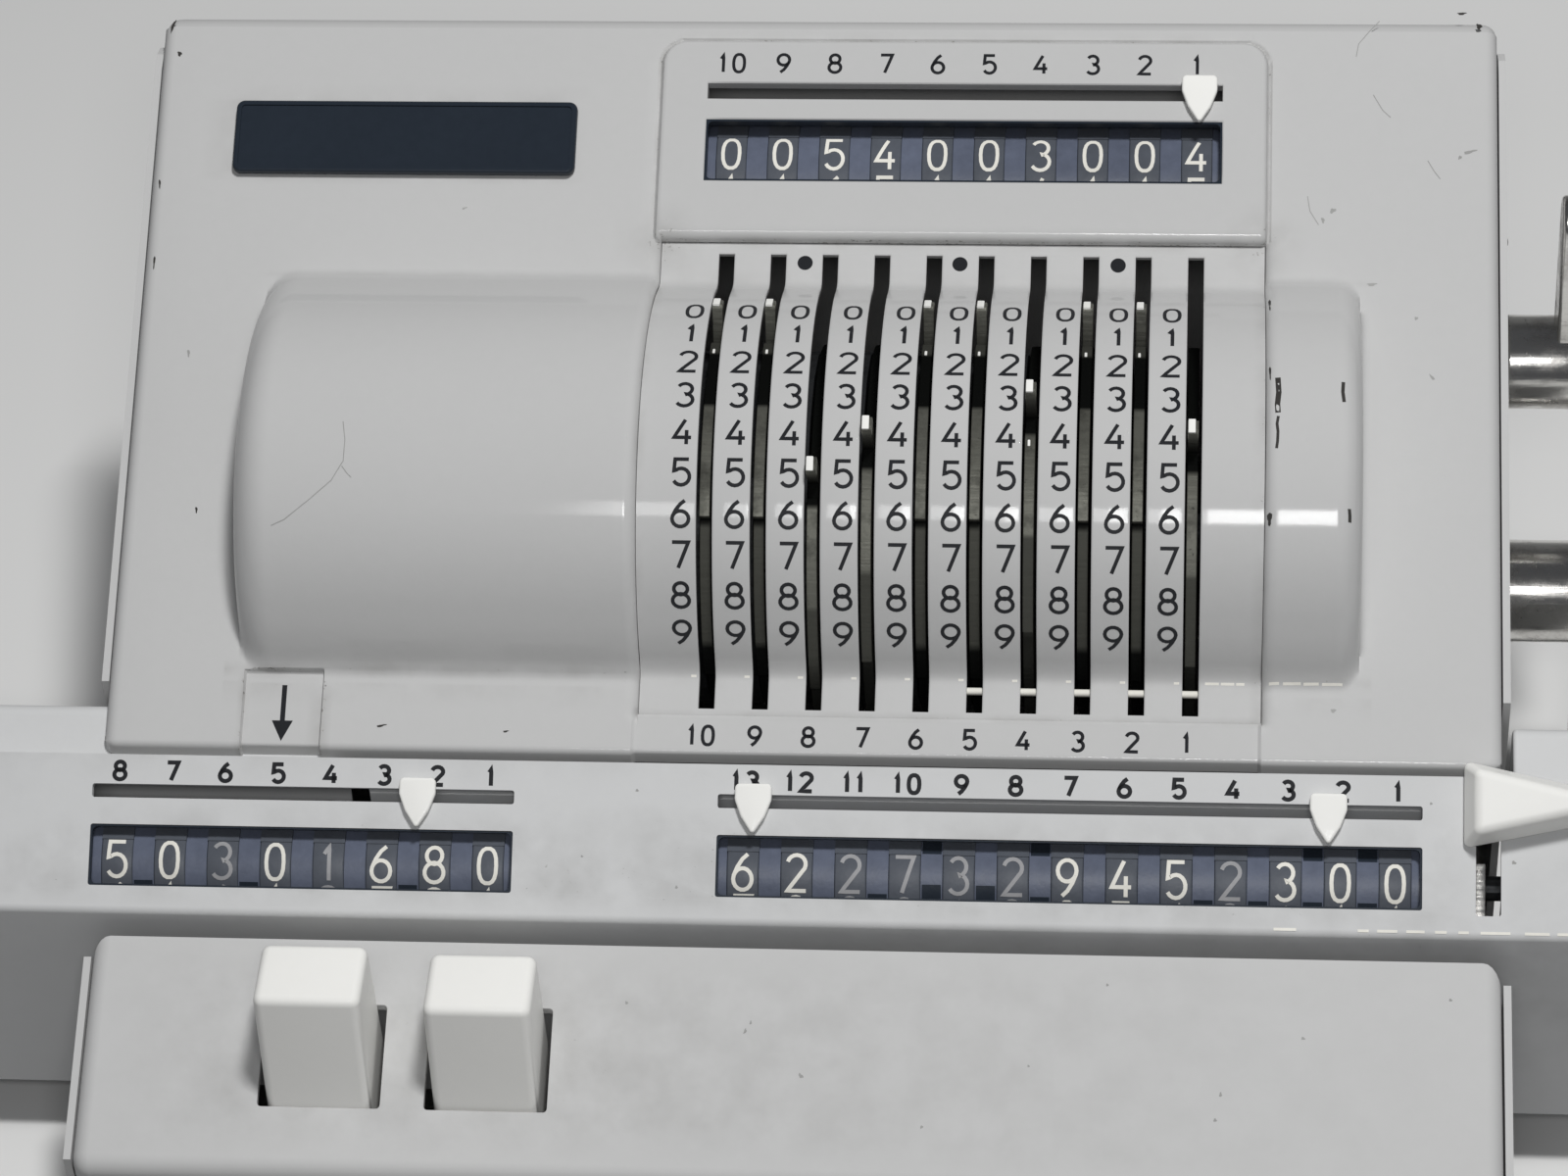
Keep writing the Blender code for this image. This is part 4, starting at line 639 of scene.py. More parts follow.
def bulge_radius(x, inset):
    """Radius of the bulge at x, with its rounded ends; inset gives the inner face"""
    left, right = x - BULGE_LEFT - inset, BULGE_RIGHT - inset - x
    rounding = 6.0 if left < right else 4.0
    distance = min(left, right)
    if distance < 0:
        return 0.0
    return BULGE_RADIUS - inset - edge_fall(distance, rounding - inset, rounding - inset)


def bulge_height(x, along, inset):
    """Height of the bulge over the slope's own plane through the axis"""
    radius = bulge_radius(x, inset)
    along -= ROLL_BACK
    return sqrt(radius * radius - along * along) if radius > abs(along) else 0.0


def casing_top(x, along):
    """Height of the outer face"""
    height = soft_max(CASING_HEIGHT, bulge_height(x, along, 0.0), 2.8)
    end = max(BULGE_LEFT - x, x - BULGE_RIGHT)
    if end > 0:
        wall = max(bulge_height(min(max(x, BULGE_LEFT), BULGE_RIGHT), along, 0.0) - CASING_HEIGHT, 0.0)
        height += min(edge_fall(end, 1.5, 1.5), wall)
    inside = -box_distance(x, along, *PAD[:2], PAD[2] - 1.0, PAD[3], 4.0 if along > 60 else 1.5)
    if inside > 0 and along > PAD[2] - 1.0:
        height = max(height, CASING_HEIGHT + 1.1 - edge_fall(inside, 0.7, 1.1))
    notch = -box_distance(x, along, *NOTCH)
    if notch > 0:
        height = min(height, CASING_HEIGHT - 0.7 * min(notch / 0.25, 1.0))
    strip = -box_distance(x, along, DRUM_LEFT - 0.8, DRUM_RIGHT, -60.0, DRUM_FRONT + 2.0)
    if strip > 0 and along < DRUM_FRONT + 1.0:
        height -= 0.45 * min(strip / 0.5, 1.0)
    opening = box_distance(x, along, DRUM_LEFT, DRUM_RIGHT, DRUM_FRONT, DRUM_BACK)
    in_front = along < DRUM_FRONT and DRUM_LEFT < x < DRUM_RIGHT
    height -= edge_fall(opening, 0.4, 0.25) if in_front else edge_fall(opening, 2.1, 1.6)
    rim = -inside
    if 0 < rim < 0.8 and along > 43:
        height -= 0.45 * (1 - abs(rim - 0.4) / 0.4)
    for hole in (CHECK_WINDOW, CHECK_SLOT):
        height -= edge_fall(box_distance(x, along, *hole), 0.35, 0.22)
    return height


def casing_under(x, along):
    """Height of the inner face, at least half a sheet below the outer one"""
    return min(max(CASING_HEIGHT - SHEET, bulge_height(x, along, SHEET)), casing_top(x, along) - 0.6)


def casing_grime(x, along):
    """Dirt and painted shade on the casing, from 0 to 1: darker in the fillets, in the corners and
    beside the edges
    """
    mask = 0.0
    opening = box_distance(x, along, DRUM_LEFT, DRUM_RIGHT, DRUM_FRONT, DRUM_BACK)
    corner = min(hypot(x - DRUM_LEFT, along - DRUM_BACK), hypot(x - DRUM_RIGHT, along - DRUM_BACK))
    mask = max(mask, 0.42 - opening / 2.2, 0.75 - corner / 9.0)
    junction = abs(abs(along - ROLL_BACK) - 33.9)
    if BULGE_LEFT - 2 < x < BULGE_RIGHT + 2:
        front = along < 0
        mask = max(mask,
                   (0.55 if front else 0.25) - junction / (11.0 if front and along < -33.9 else 3.0))
    mask = max(mask, 0.75 - abs(box_distance(x, along, *NOTCH)) / 1.3)
    mask = max(mask, 0.75 - abs(box_distance(x, along, *PAD, 4.0) - 0.3) / 0.8)
    mask = max(mask, 0.75 - abs(box_distance(x, along, -159.0, -102.0, 53.7, 66.5)) / 2.0)
    return min(max(mask, 0.0), 1.0)


print("top of the bulge, mm above the slope's plane:", round(casing_top(-120, 0), 2))

# %% Press the casing
FLANGE, EDGE, LIP, CORNER = 5.6, 2.3, 1.3, 6.0


def casing_columns():
    """(outer x, outer drop, inner x, inner drop) from the left flange to the right one"""
    inner_edge = EDGE - SHEET
    side = [(0.0, FLANGE, SHEET, FLANGE), (0.0, EDGE + 1, SHEET, EDGE + 1)]
    for step in range(7):
        turn = pi / 2 * step / 6
        side.append((EDGE * (1 - cos(turn)), EDGE * (1 - sin(turn)),
                     SHEET + inner_edge * (1 - cos(turn)), SHEET + inner_edge * (1 - sin(turn))))
    columns = [(CASING_LEFT + a, b, CASING_LEFT + c, d) for a, b, c, d in side]
    lines = spread((-165, -155, 5), (-154.2, -152.02, 0.36), (-152.0, -151.9, 0.1),
                   (-151.7, -145.5, 0.55),
                   (-150.82, -150.78, 0.04), (-150.7, -150.4, 0.3), (-138.0, -137.7, 0.3),
                   (-145, -91, 4.5),
                   (-89.3, -83.8, 0.32), (-87.22, -87.18, 0.04), (-80.95, -80.6, 0.17), (-82, 3, 4.5),
                   (4.1, 4.45, 0.17), (6.8, 14.0, 0.36), (11.28, 11.32, 0.04), (16, 21, 2.5),
                   (22.2, 26.5, 0.42), (25.28, 25.32, 0.04), (26.52, 28.6, 0.35), (33, 43, 5))
    columns += [(x, 0.0, x, SHEET) for x in lines]
    columns += [(CASING_RIGHT - a, b, CASING_RIGHT - c, d) for a, b, c, d in reversed(side)]
    return columns


def casing_rows():
    """(place, normal, along or None) from the front lip over the slope to the back's foot"""
    along_way, up_way = Vector((cos(SLOPE), sin(SLOPE))), Vector((-sin(SLOPE), cos(SLOPE)))
    centre = along_way * (CASING_FRONT + LIP) + up_way * (CASING_HEIGHT - LIP)
    rows = [(centre + Vector((-LIP, -depth)), Vector((-1.0, 0.0)), None) for depth in (1.9, 0.9)]
    for step in range(6):
        turn = SLOPE + (pi / 2 - SLOPE) * step / 6
        normal = -along_way * cos(turn) + up_way * sin(turn)
        rows.append((centre + normal * LIP, normal, None))
    corner_along = (CASING_BACK + CASING_HEIGHT * sin(SLOPE)) / cos(SLOPE)
    half = (pi / 2 - SLOPE) / 2
    reach = CORNER / tan(half)
    lines = spread((CASING_FRONT + LIP, -41, 0.7), (-40.0, -38.5, 0.3), (-38.22, -38.18, 0.04),
                   (-37.5, -27.0, 0.42),
                   (-31.92, -31.6, 0.16), (-26, 30, 1.4), (31, 39.4, 0.42), (40.2, 42.3, 0.7),
                   (42.78, 42.82, 0.04),
                   (42.9, 47, 0.25), (48, 52, 2), (52.55, 52.9, 0.17), (55, 61, 3),
                   (63.8, 64.15, 0.17), (65.5, 66.8, 1.3),
                   (67.15, 67.5, 0.17), (70.3, 70.65, 0.17), (73.4, 78.8, 0.3),
                   (80.5, corner_along - reach, 2))
    rows += [(along_way * along + up_way * CASING_HEIGHT, up_way, along) for along in lines]
    centre = along_way * (corner_along - reach) + up_way * (CASING_HEIGHT - CORNER)
    for step in range(1, 11):
        turn = (pi / 2 + SLOPE) * step / 10
        normal = up_way * cos(turn) + along_way * sin(turn)
        rows.append((centre + normal * CORNER, normal, None))
    last = rows[-1][0]
    rows += [(Vector((CASING_BACK, z)), Vector((1.0, 0.0)), None) for z in (20, 0, -20, -40,
                                                                            CASING_FLOOR)
             if z < last.y - 1]
    return rows


def build_casing():
    """The casing's two faces and its openings"""
    columns, rows = casing_columns(), casing_rows()
    outer, inner = [], []
    for number, (place, normal, along) in enumerate(rows):
        outer_row, inner_row = [], []
        lip = number < 8
        for x, drop, inner_x, inner_drop in columns:
            if lip:
                drop, inner_drop = min(drop, EDGE), min(inner_drop, EDGE + SHEET)
            rise = below = 0.0
            if drop == 0 and (lip or along is not None):
                line = CASING_FRONT + LIP if lip else along
                rise = casing_top(x, line) - CASING_HEIGHT
                below = casing_under(x, line) - CASING_HEIGHT + SHEET
            y, z = place + normal * (rise - drop)
            outer_row.append((x, y, z))
            y, z = place + normal * (below - inner_drop)
            inner_row.append((inner_x, y, z))
        outer.append(outer_row)
        inner.append(inner_row)

    def is_open(row, column):
        first, second = rows[row][2], rows[row + 1][2]
        if first is None or second is None:
            return False
        along, x = (first + second) / 2, (columns[column][0] + columns[column + 1][0]) / 2
        return min(box_distance(x, along, *hole) for hole in (
            (DRUM_LEFT, DRUM_RIGHT, DRUM_FRONT, DRUM_BACK), CHECK_WINDOW, CHECK_SLOT)) < 0

    return sheet_piece("casing", outer, inner, is_open, enamel)


def write_mask(piece, rule, name="dirt_and_shade"):
    """Stores a mask on a cover's mesh, worked out from each vertex's place"""
    layer = piece.data.attributes.new(name, "FLOAT", "POINT")
    for index, vert in enumerate(piece.data.vertices):
        x, y, z = (vert.co - AXIS) / MM
        layer.data[index].value = rule(x, y, z)
    return piece


def slope_place(y, z):
    """Distance along the casing's slope and height above it, from a point's Y and Z"""
    return y * cos(SLOPE) + z * sin(SLOPE), z * cos(SLOPE) - y * sin(SLOPE)


def casing_rule(x, y, z):
    along, height = slope_place(y, z)
    return casing_grime(x, along) if height > CASING_HEIGHT - 2.5 else 0.08


def polish_rule(x, y, z):
    """Hands polish what stands out of the plate, and its rolled edges"""
    along, height = slope_place(y, z)
    if height > CASING_HEIGHT + 0.6 or along < CASING_FRONT + LIP:
        return 1.0
    return 0.0


casing = write_mask(write_mask(build_casing(), casing_rule), polish_rule, "polish")
mount(casing, "housing", "grey_enamel", "top_cover")
print("casing faces:", len(casing.data.polygons))

# %% [markdown]
# ## The slotted drum cover
# Between the bulges sits a plate rolled to a smaller radius, with one slot for each
# setting lever. It is made by the same grid helper, with grid lines on both sides of each
# slot so that the slot's edges can be slightly rolled as a press leaves them.

# %% Roll the drum cover
DRUM_RADIUS, DRUM_FLAT = 37.6, 18.3
SLOT_HALF, SLOT_FRONT, SLOT_BACK = 1.28, -36.9, 40.8
SLOT_LINES = [0.12 - PITCH * column for column in range(10)]


def drum_top(x, along):
    """Height of the drum cover's outer face"""
    roll = sqrt(max(DRUM_RADIUS ** 2 - (along - ROLL_BACK) ** 2, 0.0))
    height = soft_max(DRUM_FLAT, roll, 2.8) - edge_fall(along + 38.3, 1.3, 0.7)
    line = min(SLOT_LINES, key=lambda middle: abs(x - middle))
    return height - edge_fall(box_distance(x, along, line - SLOT_HALF, line + SLOT_HALF, SLOT_FRONT,
                                           SLOT_BACK), 0.3, 0.16)


def build_drum_cover():
    """The rolled plate with its ten slots"""
    parts = [(-87.1, -85.0, 0.7), (-80.0, -79.0, 1.0), (3.0, 11.2, 2.05)]
    for line in SLOT_LINES:
        parts += [(line - 1.58, line - 1.28, 0.15), (line + 1.28, line + 1.58, 0.15)]
    columns = spread(*parts)
    rows = spread((-38.1, -36.6, 0.15), (-36.0, -26.0, 0.4), (-24.5, 28.0, 1.4),
                  (29.0, 39.0, 0.4), (39.7, 40.4, 0.7), (40.5, 41.1, 0.15), (41.7, 42.7, 0.5))
    outer = [[casing_point(x, along, drum_top(x, along)) for x in columns] for along in rows]
    inner = [[casing_point(x, along,
                           soft_max(DRUM_FLAT,
                                    sqrt(max(DRUM_RADIUS ** 2 - (along - ROLL_BACK) ** 2, 0)), 2.8)
                           - SHEET) for x in columns] for along in rows]

    def is_open(row, column):
        x = (columns[column] + columns[column + 1]) / 2
        along = (rows[row] + rows[row + 1]) / 2
        line = min(SLOT_LINES, key=lambda middle: abs(x - middle))
        return abs(x - line) < SLOT_HALF and SLOT_FRONT < along < SLOT_BACK

    return sheet_piece("drum_plate", outer, inner, is_open, enamel)


# Dirt and painted shade on the drum plate: darker along its edges, in its back corners and along the
# bend.
def drum_rule(x, y, z):
    along = slope_place(y, z)[0]
    edge = min(x + 87.0, 11.1 - x, along + 38.1, 42.7 - along)
    corner = 0.85 - min(hypot(x + 87.0, 42.7 - along), hypot(11.1 - x, 42.7 - along)) / 9.0
    return min(max(0.5 - edge / 2.6, corner, 0.25 - abs(abs(along - ROLL_BACK) - 34.0) / 8.0, 0.0), 1.0)


drum_plate = write_mask(write_mask(build_drum_cover(), drum_rule), polish_rule, "polish")
mount(drum_plate, "housing", "grey_enamel", "drum_cover")
print("drum plate faces:", len(drum_plate.data.polygons))

# %% [markdown]
# ## The carriage cover
# The carriage is a folded sheet that slides sideways in front of the casing. Its outline
# is the same all along, apart from the ends, where a ledge reaches back under the casing's
# line. An outline drawn out along X fits that best; openings and the hollow are cut after.

# %% Fold the carriage cover
CARRIAGE_LEFT, CARRIAGE_RIGHT, CARRIAGE_BOTTOM = -213.0, 72.0, -60.0
LEDGES = ((CARRIAGE_LEFT, -135.0), (50.6, CARRIAGE_RIGHT))
KNOB_X, KNOB_DOWN = 46.6, 4.6


def carriage_outline():
    """The carriage from the side, from the foot of its front to the foot of its back"""
    corner = carriage_point(0, FACE_LENGTH, 0)[1:]
    foot = (corner[0] - 0.3, CARRIAGE_BOTTOM)
    return round_outline([(*foot, 0), (*corner, 1.6), (-FACE_BACK, -FACE_BACK_DROP, 0),
                          (-FACE_BACK, CARRIAGE_BOTTOM, 0)])


def ledge_outline():
    """The carriage's ends from the side, with the ledge behind the face"""
    corner = carriage_point(0, FACE_LENGTH, 0)[1:]
    foot = (corner[0] - 0.3, CARRIAGE_BOTTOM)
    step_z = (16.7 - FACE_BACK * sin(SLOPE)) / cos(SLOPE)
    crest = casing_point(0, -34.7, 16.7)[1:]
    return round_outline([(*foot, 0), (*corner, 1.6), (-FACE_BACK, -FACE_BACK_DROP, 0),
                          (-FACE_BACK, step_z, 0), (*crest, 2.2), (-42.16, -15.85, 3.0),
                          (-44.2, -25.4, 3.0), (-44.2, CARRIAGE_BOTTOM, 0)])


def opening(name, locate, left, right, first, second, corner=0.4):
    """A cutter through a sloping face, with slightly round corners"""
    outline = round_outline([(left, first, corner), (right, first, corner),
                             (right, second, corner), (left, second, corner)], 4)
    return drawn(name, outline, -5.0, 5.0, 0, None,
                 to_point=lambda above, x, distance: locate(x, distance, above))


def build_carriage_cover():
    cover = drawn("carriage_shell", carriage_outline(), -137.0, 54.0, 0, carriage_coat_painted_lighter)
    ends = [drawn(f"ledge_{index}", ledge_outline(), left, right, 0.7, carriage_coat_painted_lighter)
            for index, (left, right) in enumerate(LEDGES)]
    carve(cover, *ends, operation="UNION")
    hollow = shrink(carriage_outline(), SHEET)
    hollow[0] = (hollow[0][0], -66.0)
    foot = -FACE_BACK_DROP - 9.0
    hollow = hollow[:-1] + [(hollow[-2][0], foot), (-FACE_BACK + 1.0, foot), (-FACE_BACK + 1.0, -66.0)]
    hollow_end = shrink(ledge_outline(), SHEET)
    hollow_end[0] = (hollow_end[0][0], -66.0)
    hollow_end[-1] = (hollow_end[-1][0], -66.0)
    tools = [drawn("hollow", hollow, CARRIAGE_LEFT + SHEET, CARRIAGE_RIGHT - SHEET, 0, None)]
    for index, (left, right) in enumerate(LEDGES):
        inward = (SHEET, 5.0) if index == 0 else (-5.0, -SHEET)
        tools.append(drawn(f"hollow_{index}", hollow_end, left + inward[0], right + inward[1], 0, None))
    carve(cover, *tools)
    cuts = [opening("knob_way", carriage_point, KNOB_X - 1.95, KNOB_X + 1.95, 3.0, 21.7)]
    for register in ("counter", "result"):
        left, right = window_span(register)
        cuts.append(opening(f"{register}_window", carriage_point, left, right, 11.2, 21.0))
        cuts.append(opening(f"{register}_way", carriage_point, left, right, 4.75, 6.95))
    carve(cover, *cuts)
    return soften(cover, 0.22, 2)


# Dirt and painted shade on the carriage: darker under the casing's edge, along the front bend on the
# right and round the windows.
def carriage_rule(x, y, z):
    down = (-FACE_BACK - y) * cos(FACE_SLOPE) + (-FACE_BACK_DROP - z) * sin(FACE_SLOPE)
    mask = 0.55 - abs(down - FACE_LENGTH) / 3.0 if x > 20 else 0.3 - abs(down) / 2.0
    for register in ("counter", "result"):
        gap = box_distance(x, down, *window_span(register), 11.2, 21.0)
        mask = max(mask, 0.5 - abs(gap) / 1.2)
    return min(max(mask, 0.04), 1.0)


carriage_shell = write_mask(build_carriage_cover(), carriage_rule)
mount(carriage_shell, "carriage", "carriage_enamel", "carriage_cover")
print("carriage faces:", len(carriage_shell.data.polygons))

# %% [markdown]
# ## The front deck and its keys
# The low cover in front is one more pressing, with a generous radius on its front edge and
# two openings. The white keys are moulded plastic that leans back, so they are drawn as a
# side outline with rounded ends and hollowed for the posts that guide them.

# %% Press the deck
DECK_EDGE = 3.0
KEY_X = (-134.9, -108.7)
KEY_OPENING = (83.7, 99.3)
KEY_GAP_LEFT, KEY_GAP_RIGHT = 9.1, 10.2


def deck_outline(inset):
    """The deck from the side, or its hollow"""
    drop = -inset / cos(DECK_SLOPE)
    back = deck_point(0, DECK_BACK + 0.7 - (5.7 if inset else 0.0), drop)[1:]
    corner = deck_point(0, DECK_FRONT - inset, drop)[1:]
    foot = -68.0 - (5.0 if inset else 0.0)
    return round_outline([(*back, 0), (*corner, 3.4 - inset), (corner[0], foot, 0),
                          (back[0], foot, 0)], 10)


def build_deck():
    deck = drawn("deck_shell", deck_outline(0.0), CASING_LEFT, CASING_RIGHT, DECK_EDGE, deck_coat_painted_lighter, 6)
    tools = [drawn("deck_hollow", deck_outline(SHEET), CASING_LEFT + SHEET, CASING_RIGHT - SHEET,
                   DECK_EDGE - SHEET, None, 4)]
    for index, x in enumerate(KEY_X):
        tools.append(opening(f"key_way_{index}", deck_point, x - KEY_GAP_LEFT, x + KEY_GAP_RIGHT,
                             *KEY_OPENING, 0.6))
    carve(deck, *tools)
    return soften(deck, 0.3, 3, 45)


# Dirt and painted shade on the deck: darker round the key openings.
def deck_rule(x, y, z):
    edge = min(abs(box_distance(x, -y, key - KEY_GAP_LEFT, key + KEY_GAP_RIGHT,
                                *KEY_OPENING)) for key in KEY_X)
    return min(max(0.5 - edge / 1.4, 0.03), 1.0)


deck_shell = write_mask(build_deck(), deck_rule)
mount(deck_shell, "housing", "grey_enamel", "front_deck")
print("deck faces:", len(deck_shell.data.polygons))

# %% Mould the step keys
FOOT_Y, FOOT_Z = deck_point(0, KEY_OPENING[1] - 0.3, 0)[1:]
KEY_HEIGHT = -8.2 - FOOT_Z
KEY_LEAN = radians(9.5)


def key_outline(pressed):
    """A step key from the side, pressed down by some distance"""
    top_front = KEY_HEIGHT * tan(KEY_LEAN) - 0.5
    top_back = top_front + 11.7
    back_foot = top_back + (KEY_HEIGHT + 9.0) * tan(radians(1.5))
    corners = [(-9.0 * tan(KEY_LEAN), -9.0, 0), (back_foot, -9.0, 0), (top_back, KEY_HEIGHT, 1.6),
               (top_front, KEY_HEIGHT, 1.6)]
    return [(FOOT_Y + y, FOOT_Z + z - pressed) for y, z in round_outline(corners)]


def key_pocket(bottom, top):
    """The hollow that slides over the key's post"""
    front, back = KEY_HEIGHT * tan(KEY_LEAN) + 2.4, KEY_HEIGHT * tan(KEY_LEAN) + 6.8
    shifts = [(level - KEY_HEIGHT) * tan(KEY_LEAN) for level in (bottom, top)]
    corners = [(front + shifts[0], bottom), (back + shifts[0], bottom), (back + shifts[1], top),
               (front + shifts[1], top)]
    return [(FOOT_Y + y, FOOT_Z + z) for y, z in corners]


for x, name, pressed in zip(KEY_X, ("step_key_left", "step_key_right"), (0.0, 1.4)):
    cap = drawn(f"{name}_cap", key_outline(pressed), x - 7.7, x + 8.9, 1.5, plastic_and_glint, 6)
    carve(cap, drawn("pocket", key_pocket(-14.0, KEY_HEIGHT - 4.8), x - 5.4, x + 5.4, 0, None))
    mount(cap, name, "white_plastic", name)
print("key height above the deck, mm:", round(KEY_HEIGHT, 1))

# %% [markdown]
# ## Pointers, clearing knob and nameplate
# The decimal pointers are small moulded shields that slide along a slot, and the big white
# arrow clears the result. They and the bare nameplate are flat outlines on a sloping face,
# so one helper rounds their rims and puts them there.

# %% Shapes that lie on a sloping face
def plate_on(name, locate, outline, bottom, top, rim, finish):
    """A plate on a sloping face with a rounded rim; its outline is in X and along the face"""
    return drawn(name, outline, bottom, top, rim, finish,
                 to_point=lambda above, x, distance: locate(x, distance, above))


def build_pointer(name, locate, x, line, length, surface):
    """A shield with its stem; it points back along the face where its length is negative"""
    start = line - (2.7 if length > 0 else -2.7)
    outline = round_outline([(x - 2.9, start, 0.8), (x + 2.9, start, 0.8),
                             (x + 2.9, start + 0.32 * length, 1.6),
                             (x + 1.9, start + 0.64 * length, 3.0), (x, start + length, 0.5),
                             (x - 1.9, start + 0.64 * length, 3.0),
                             (x - 2.9, start + 0.32 * length, 1.6)], 6)
    shield = plate_on(name, locate, outline, surface + 0.3, surface + 1.6, 0.4, plastic_and_glint)
    stem = plate_on("stem", locate,
                    [(x - 1.5, line - 0.8), (x + 1.5, line - 0.8), (x + 1.5, line + 0.8),
                                     (x - 1.5, line + 0.8)], surface - 1.5, surface + 0.9, 0, plastic_and_glint)
    return carve(shield, stem, operation="UNION")


pad_top = CASING_HEIGHT + 1.1
check_mark = build_pointer("check_shield", casing_point, 0.3, 68.8, -8.6, pad_top)
mount(check_mark, "check_pointer", "white_plastic", "check_pointer")
for name, x in (("counter_pointer", -121.4), ("result_pointer_left", -68.1),
                ("result_pointer_right", 21.8)):
    shield = build_pointer(f"{name}_shield", carriage_point, x, 5.85, 8.2, 0.0)
    mount(shield, name, "white_plastic", name)

# %% Mould the clearing knob
def build_knob():
    """The arrow-shaped knob: a wide foot, a narrower top and a soft edge all round"""
    middle = KNOB_DOWN - 0.1
    rings = []
    for above, left, length, half, end in ((0.3, KNOB_X - 4.2, 20.5, 7.2, 2.9),
                                           (6.0, KNOB_X - 2.2, 17.5, 5.0, 1.0)):
        rings += [carriage_point(x, down, above) for x, down in (
            (left, middle - half), (left, middle + half), (left + length, middle + end),
            (left + length, middle - end))]
    faces = [(0, 1, 2, 3), (7, 6, 5, 4)] + [(i, (i + 1) % 4, (i + 1) % 4 + 4, i + 4) for i in range(4)]
    knob = soften(mesh_piece("clearing_arrow", rings, faces, plastic_and_glint), 1.9, 6, 20)
    stem = plate_on("stem", carriage_point,
                    [(KNOB_X - 1.3, KNOB_DOWN - 1.3), (KNOB_X + 1.3, KNOB_DOWN - 1.3),
                                             (KNOB_X + 1.3, KNOB_DOWN + 1.3),
                     (KNOB_X - 1.3, KNOB_DOWN + 1.3)],
                    -5.0, 3.0, 0, plastic_and_glint)
    return carve(knob, stem, operation="UNION")


mount(build_knob(), "result_clear_knob", "white_plastic", "result_clear_knob")


PLATE_LEFT, PLATE_RIGHT, PLATE_FRONT, PLATE_BACK = -159.0, -102.0, 53.7, 66.5


def build_nameplate():
    """The bare plate with a raised rim"""
    def rounded(inset, corner):
        left, right = PLATE_LEFT + inset, PLATE_RIGHT - inset
        front, back = PLATE_FRONT + inset, PLATE_BACK - inset
        return round_outline([(left, front, corner), (right, front, corner),
                              (right, back, corner), (left, back, corner)])

    plate = plate_on("bare_plate", casing_point, rounded(0.0, 1.4), CASING_HEIGHT + 0.03,
                     CASING_HEIGHT + 1.7, 0.5, slate_and_shadow)
    field = plate_on("field", casing_point, rounded(0.9, 0.7), CASING_HEIGHT + 1.45,
                     CASING_HEIGHT + 3.0, 0, None)
    return carve(plate, field)


mount(build_nameplate(), "housing", "slate_plate", "nameplate")
print("pointers, knob and plate:", len(check_mark.data.polygons), "faces on a pointer")

# %% [markdown]
# ## Setting levers
# Each lever is a steel ring on the rotor. Its tab stands out of the slot with a white cap
# as a painted highlight. Behind the tab, a sector of the ring fills the slot and is darkened
# in bands by oil and painted shade. All ten have the same outline, turned to the digit they
# show, so one function draws them. A rod behind the slots, in white paint, is a painted
# highlight that shows through each slot.

# %% Cut the setting levers
SETTINGS = (4, 0, 0, 3, 0, 0, 4, 5, 0, 0)
UPRIGHT = pi / 2 + SLOPE


def digit_angle(digit):
    """Angle of a lever at its digit, from +Y towards +Z"""
    return UPRIGHT + radians(-45.5 + 10.0 * digit)


def ring_points(radius, start, end, step=radians(2.5)):
    count = max(1, round(abs(end - start) / step))
    return [(radius * cos(start + (end - start) * index / count),
             radius * sin(start + (end - start) * index / count)) for index in range(count + 1)]


def shifted(outline, centre):
    return [(y + centre[0], z + centre[1]) for y, z in outline]


def lever_outline(tab):
    """Tab, notch, worn sector and ring of a setting lever"""
    half = 1.3 / 40.0
    notch = tab + radians(6.5)
    worn = tab + radians(62)
    end = tab + radians(110)
    outline = ring_points(36.0, tab - half, tab - half)[:1]
    outline += ring_points(39.3, tab - half, tab - half)[:1]
    outline += ring_points(40.0, tab - half * 0.55, tab + half * 0.55, radians(0.7))
    outline += ring_points(39.3, tab + half, tab + half)[:1]
    outline += ring_points(33.0, tab + half * 1.3, notch)
    outline += ring_points(35.0, notch + 0.01, worn, radians(1.5))
    outline += ring_points(33.4, worn + 0.01, end)
    outline += ring_points(30.0, end, tab + 2 * pi - half * 1.3, radians(6))
    return outline


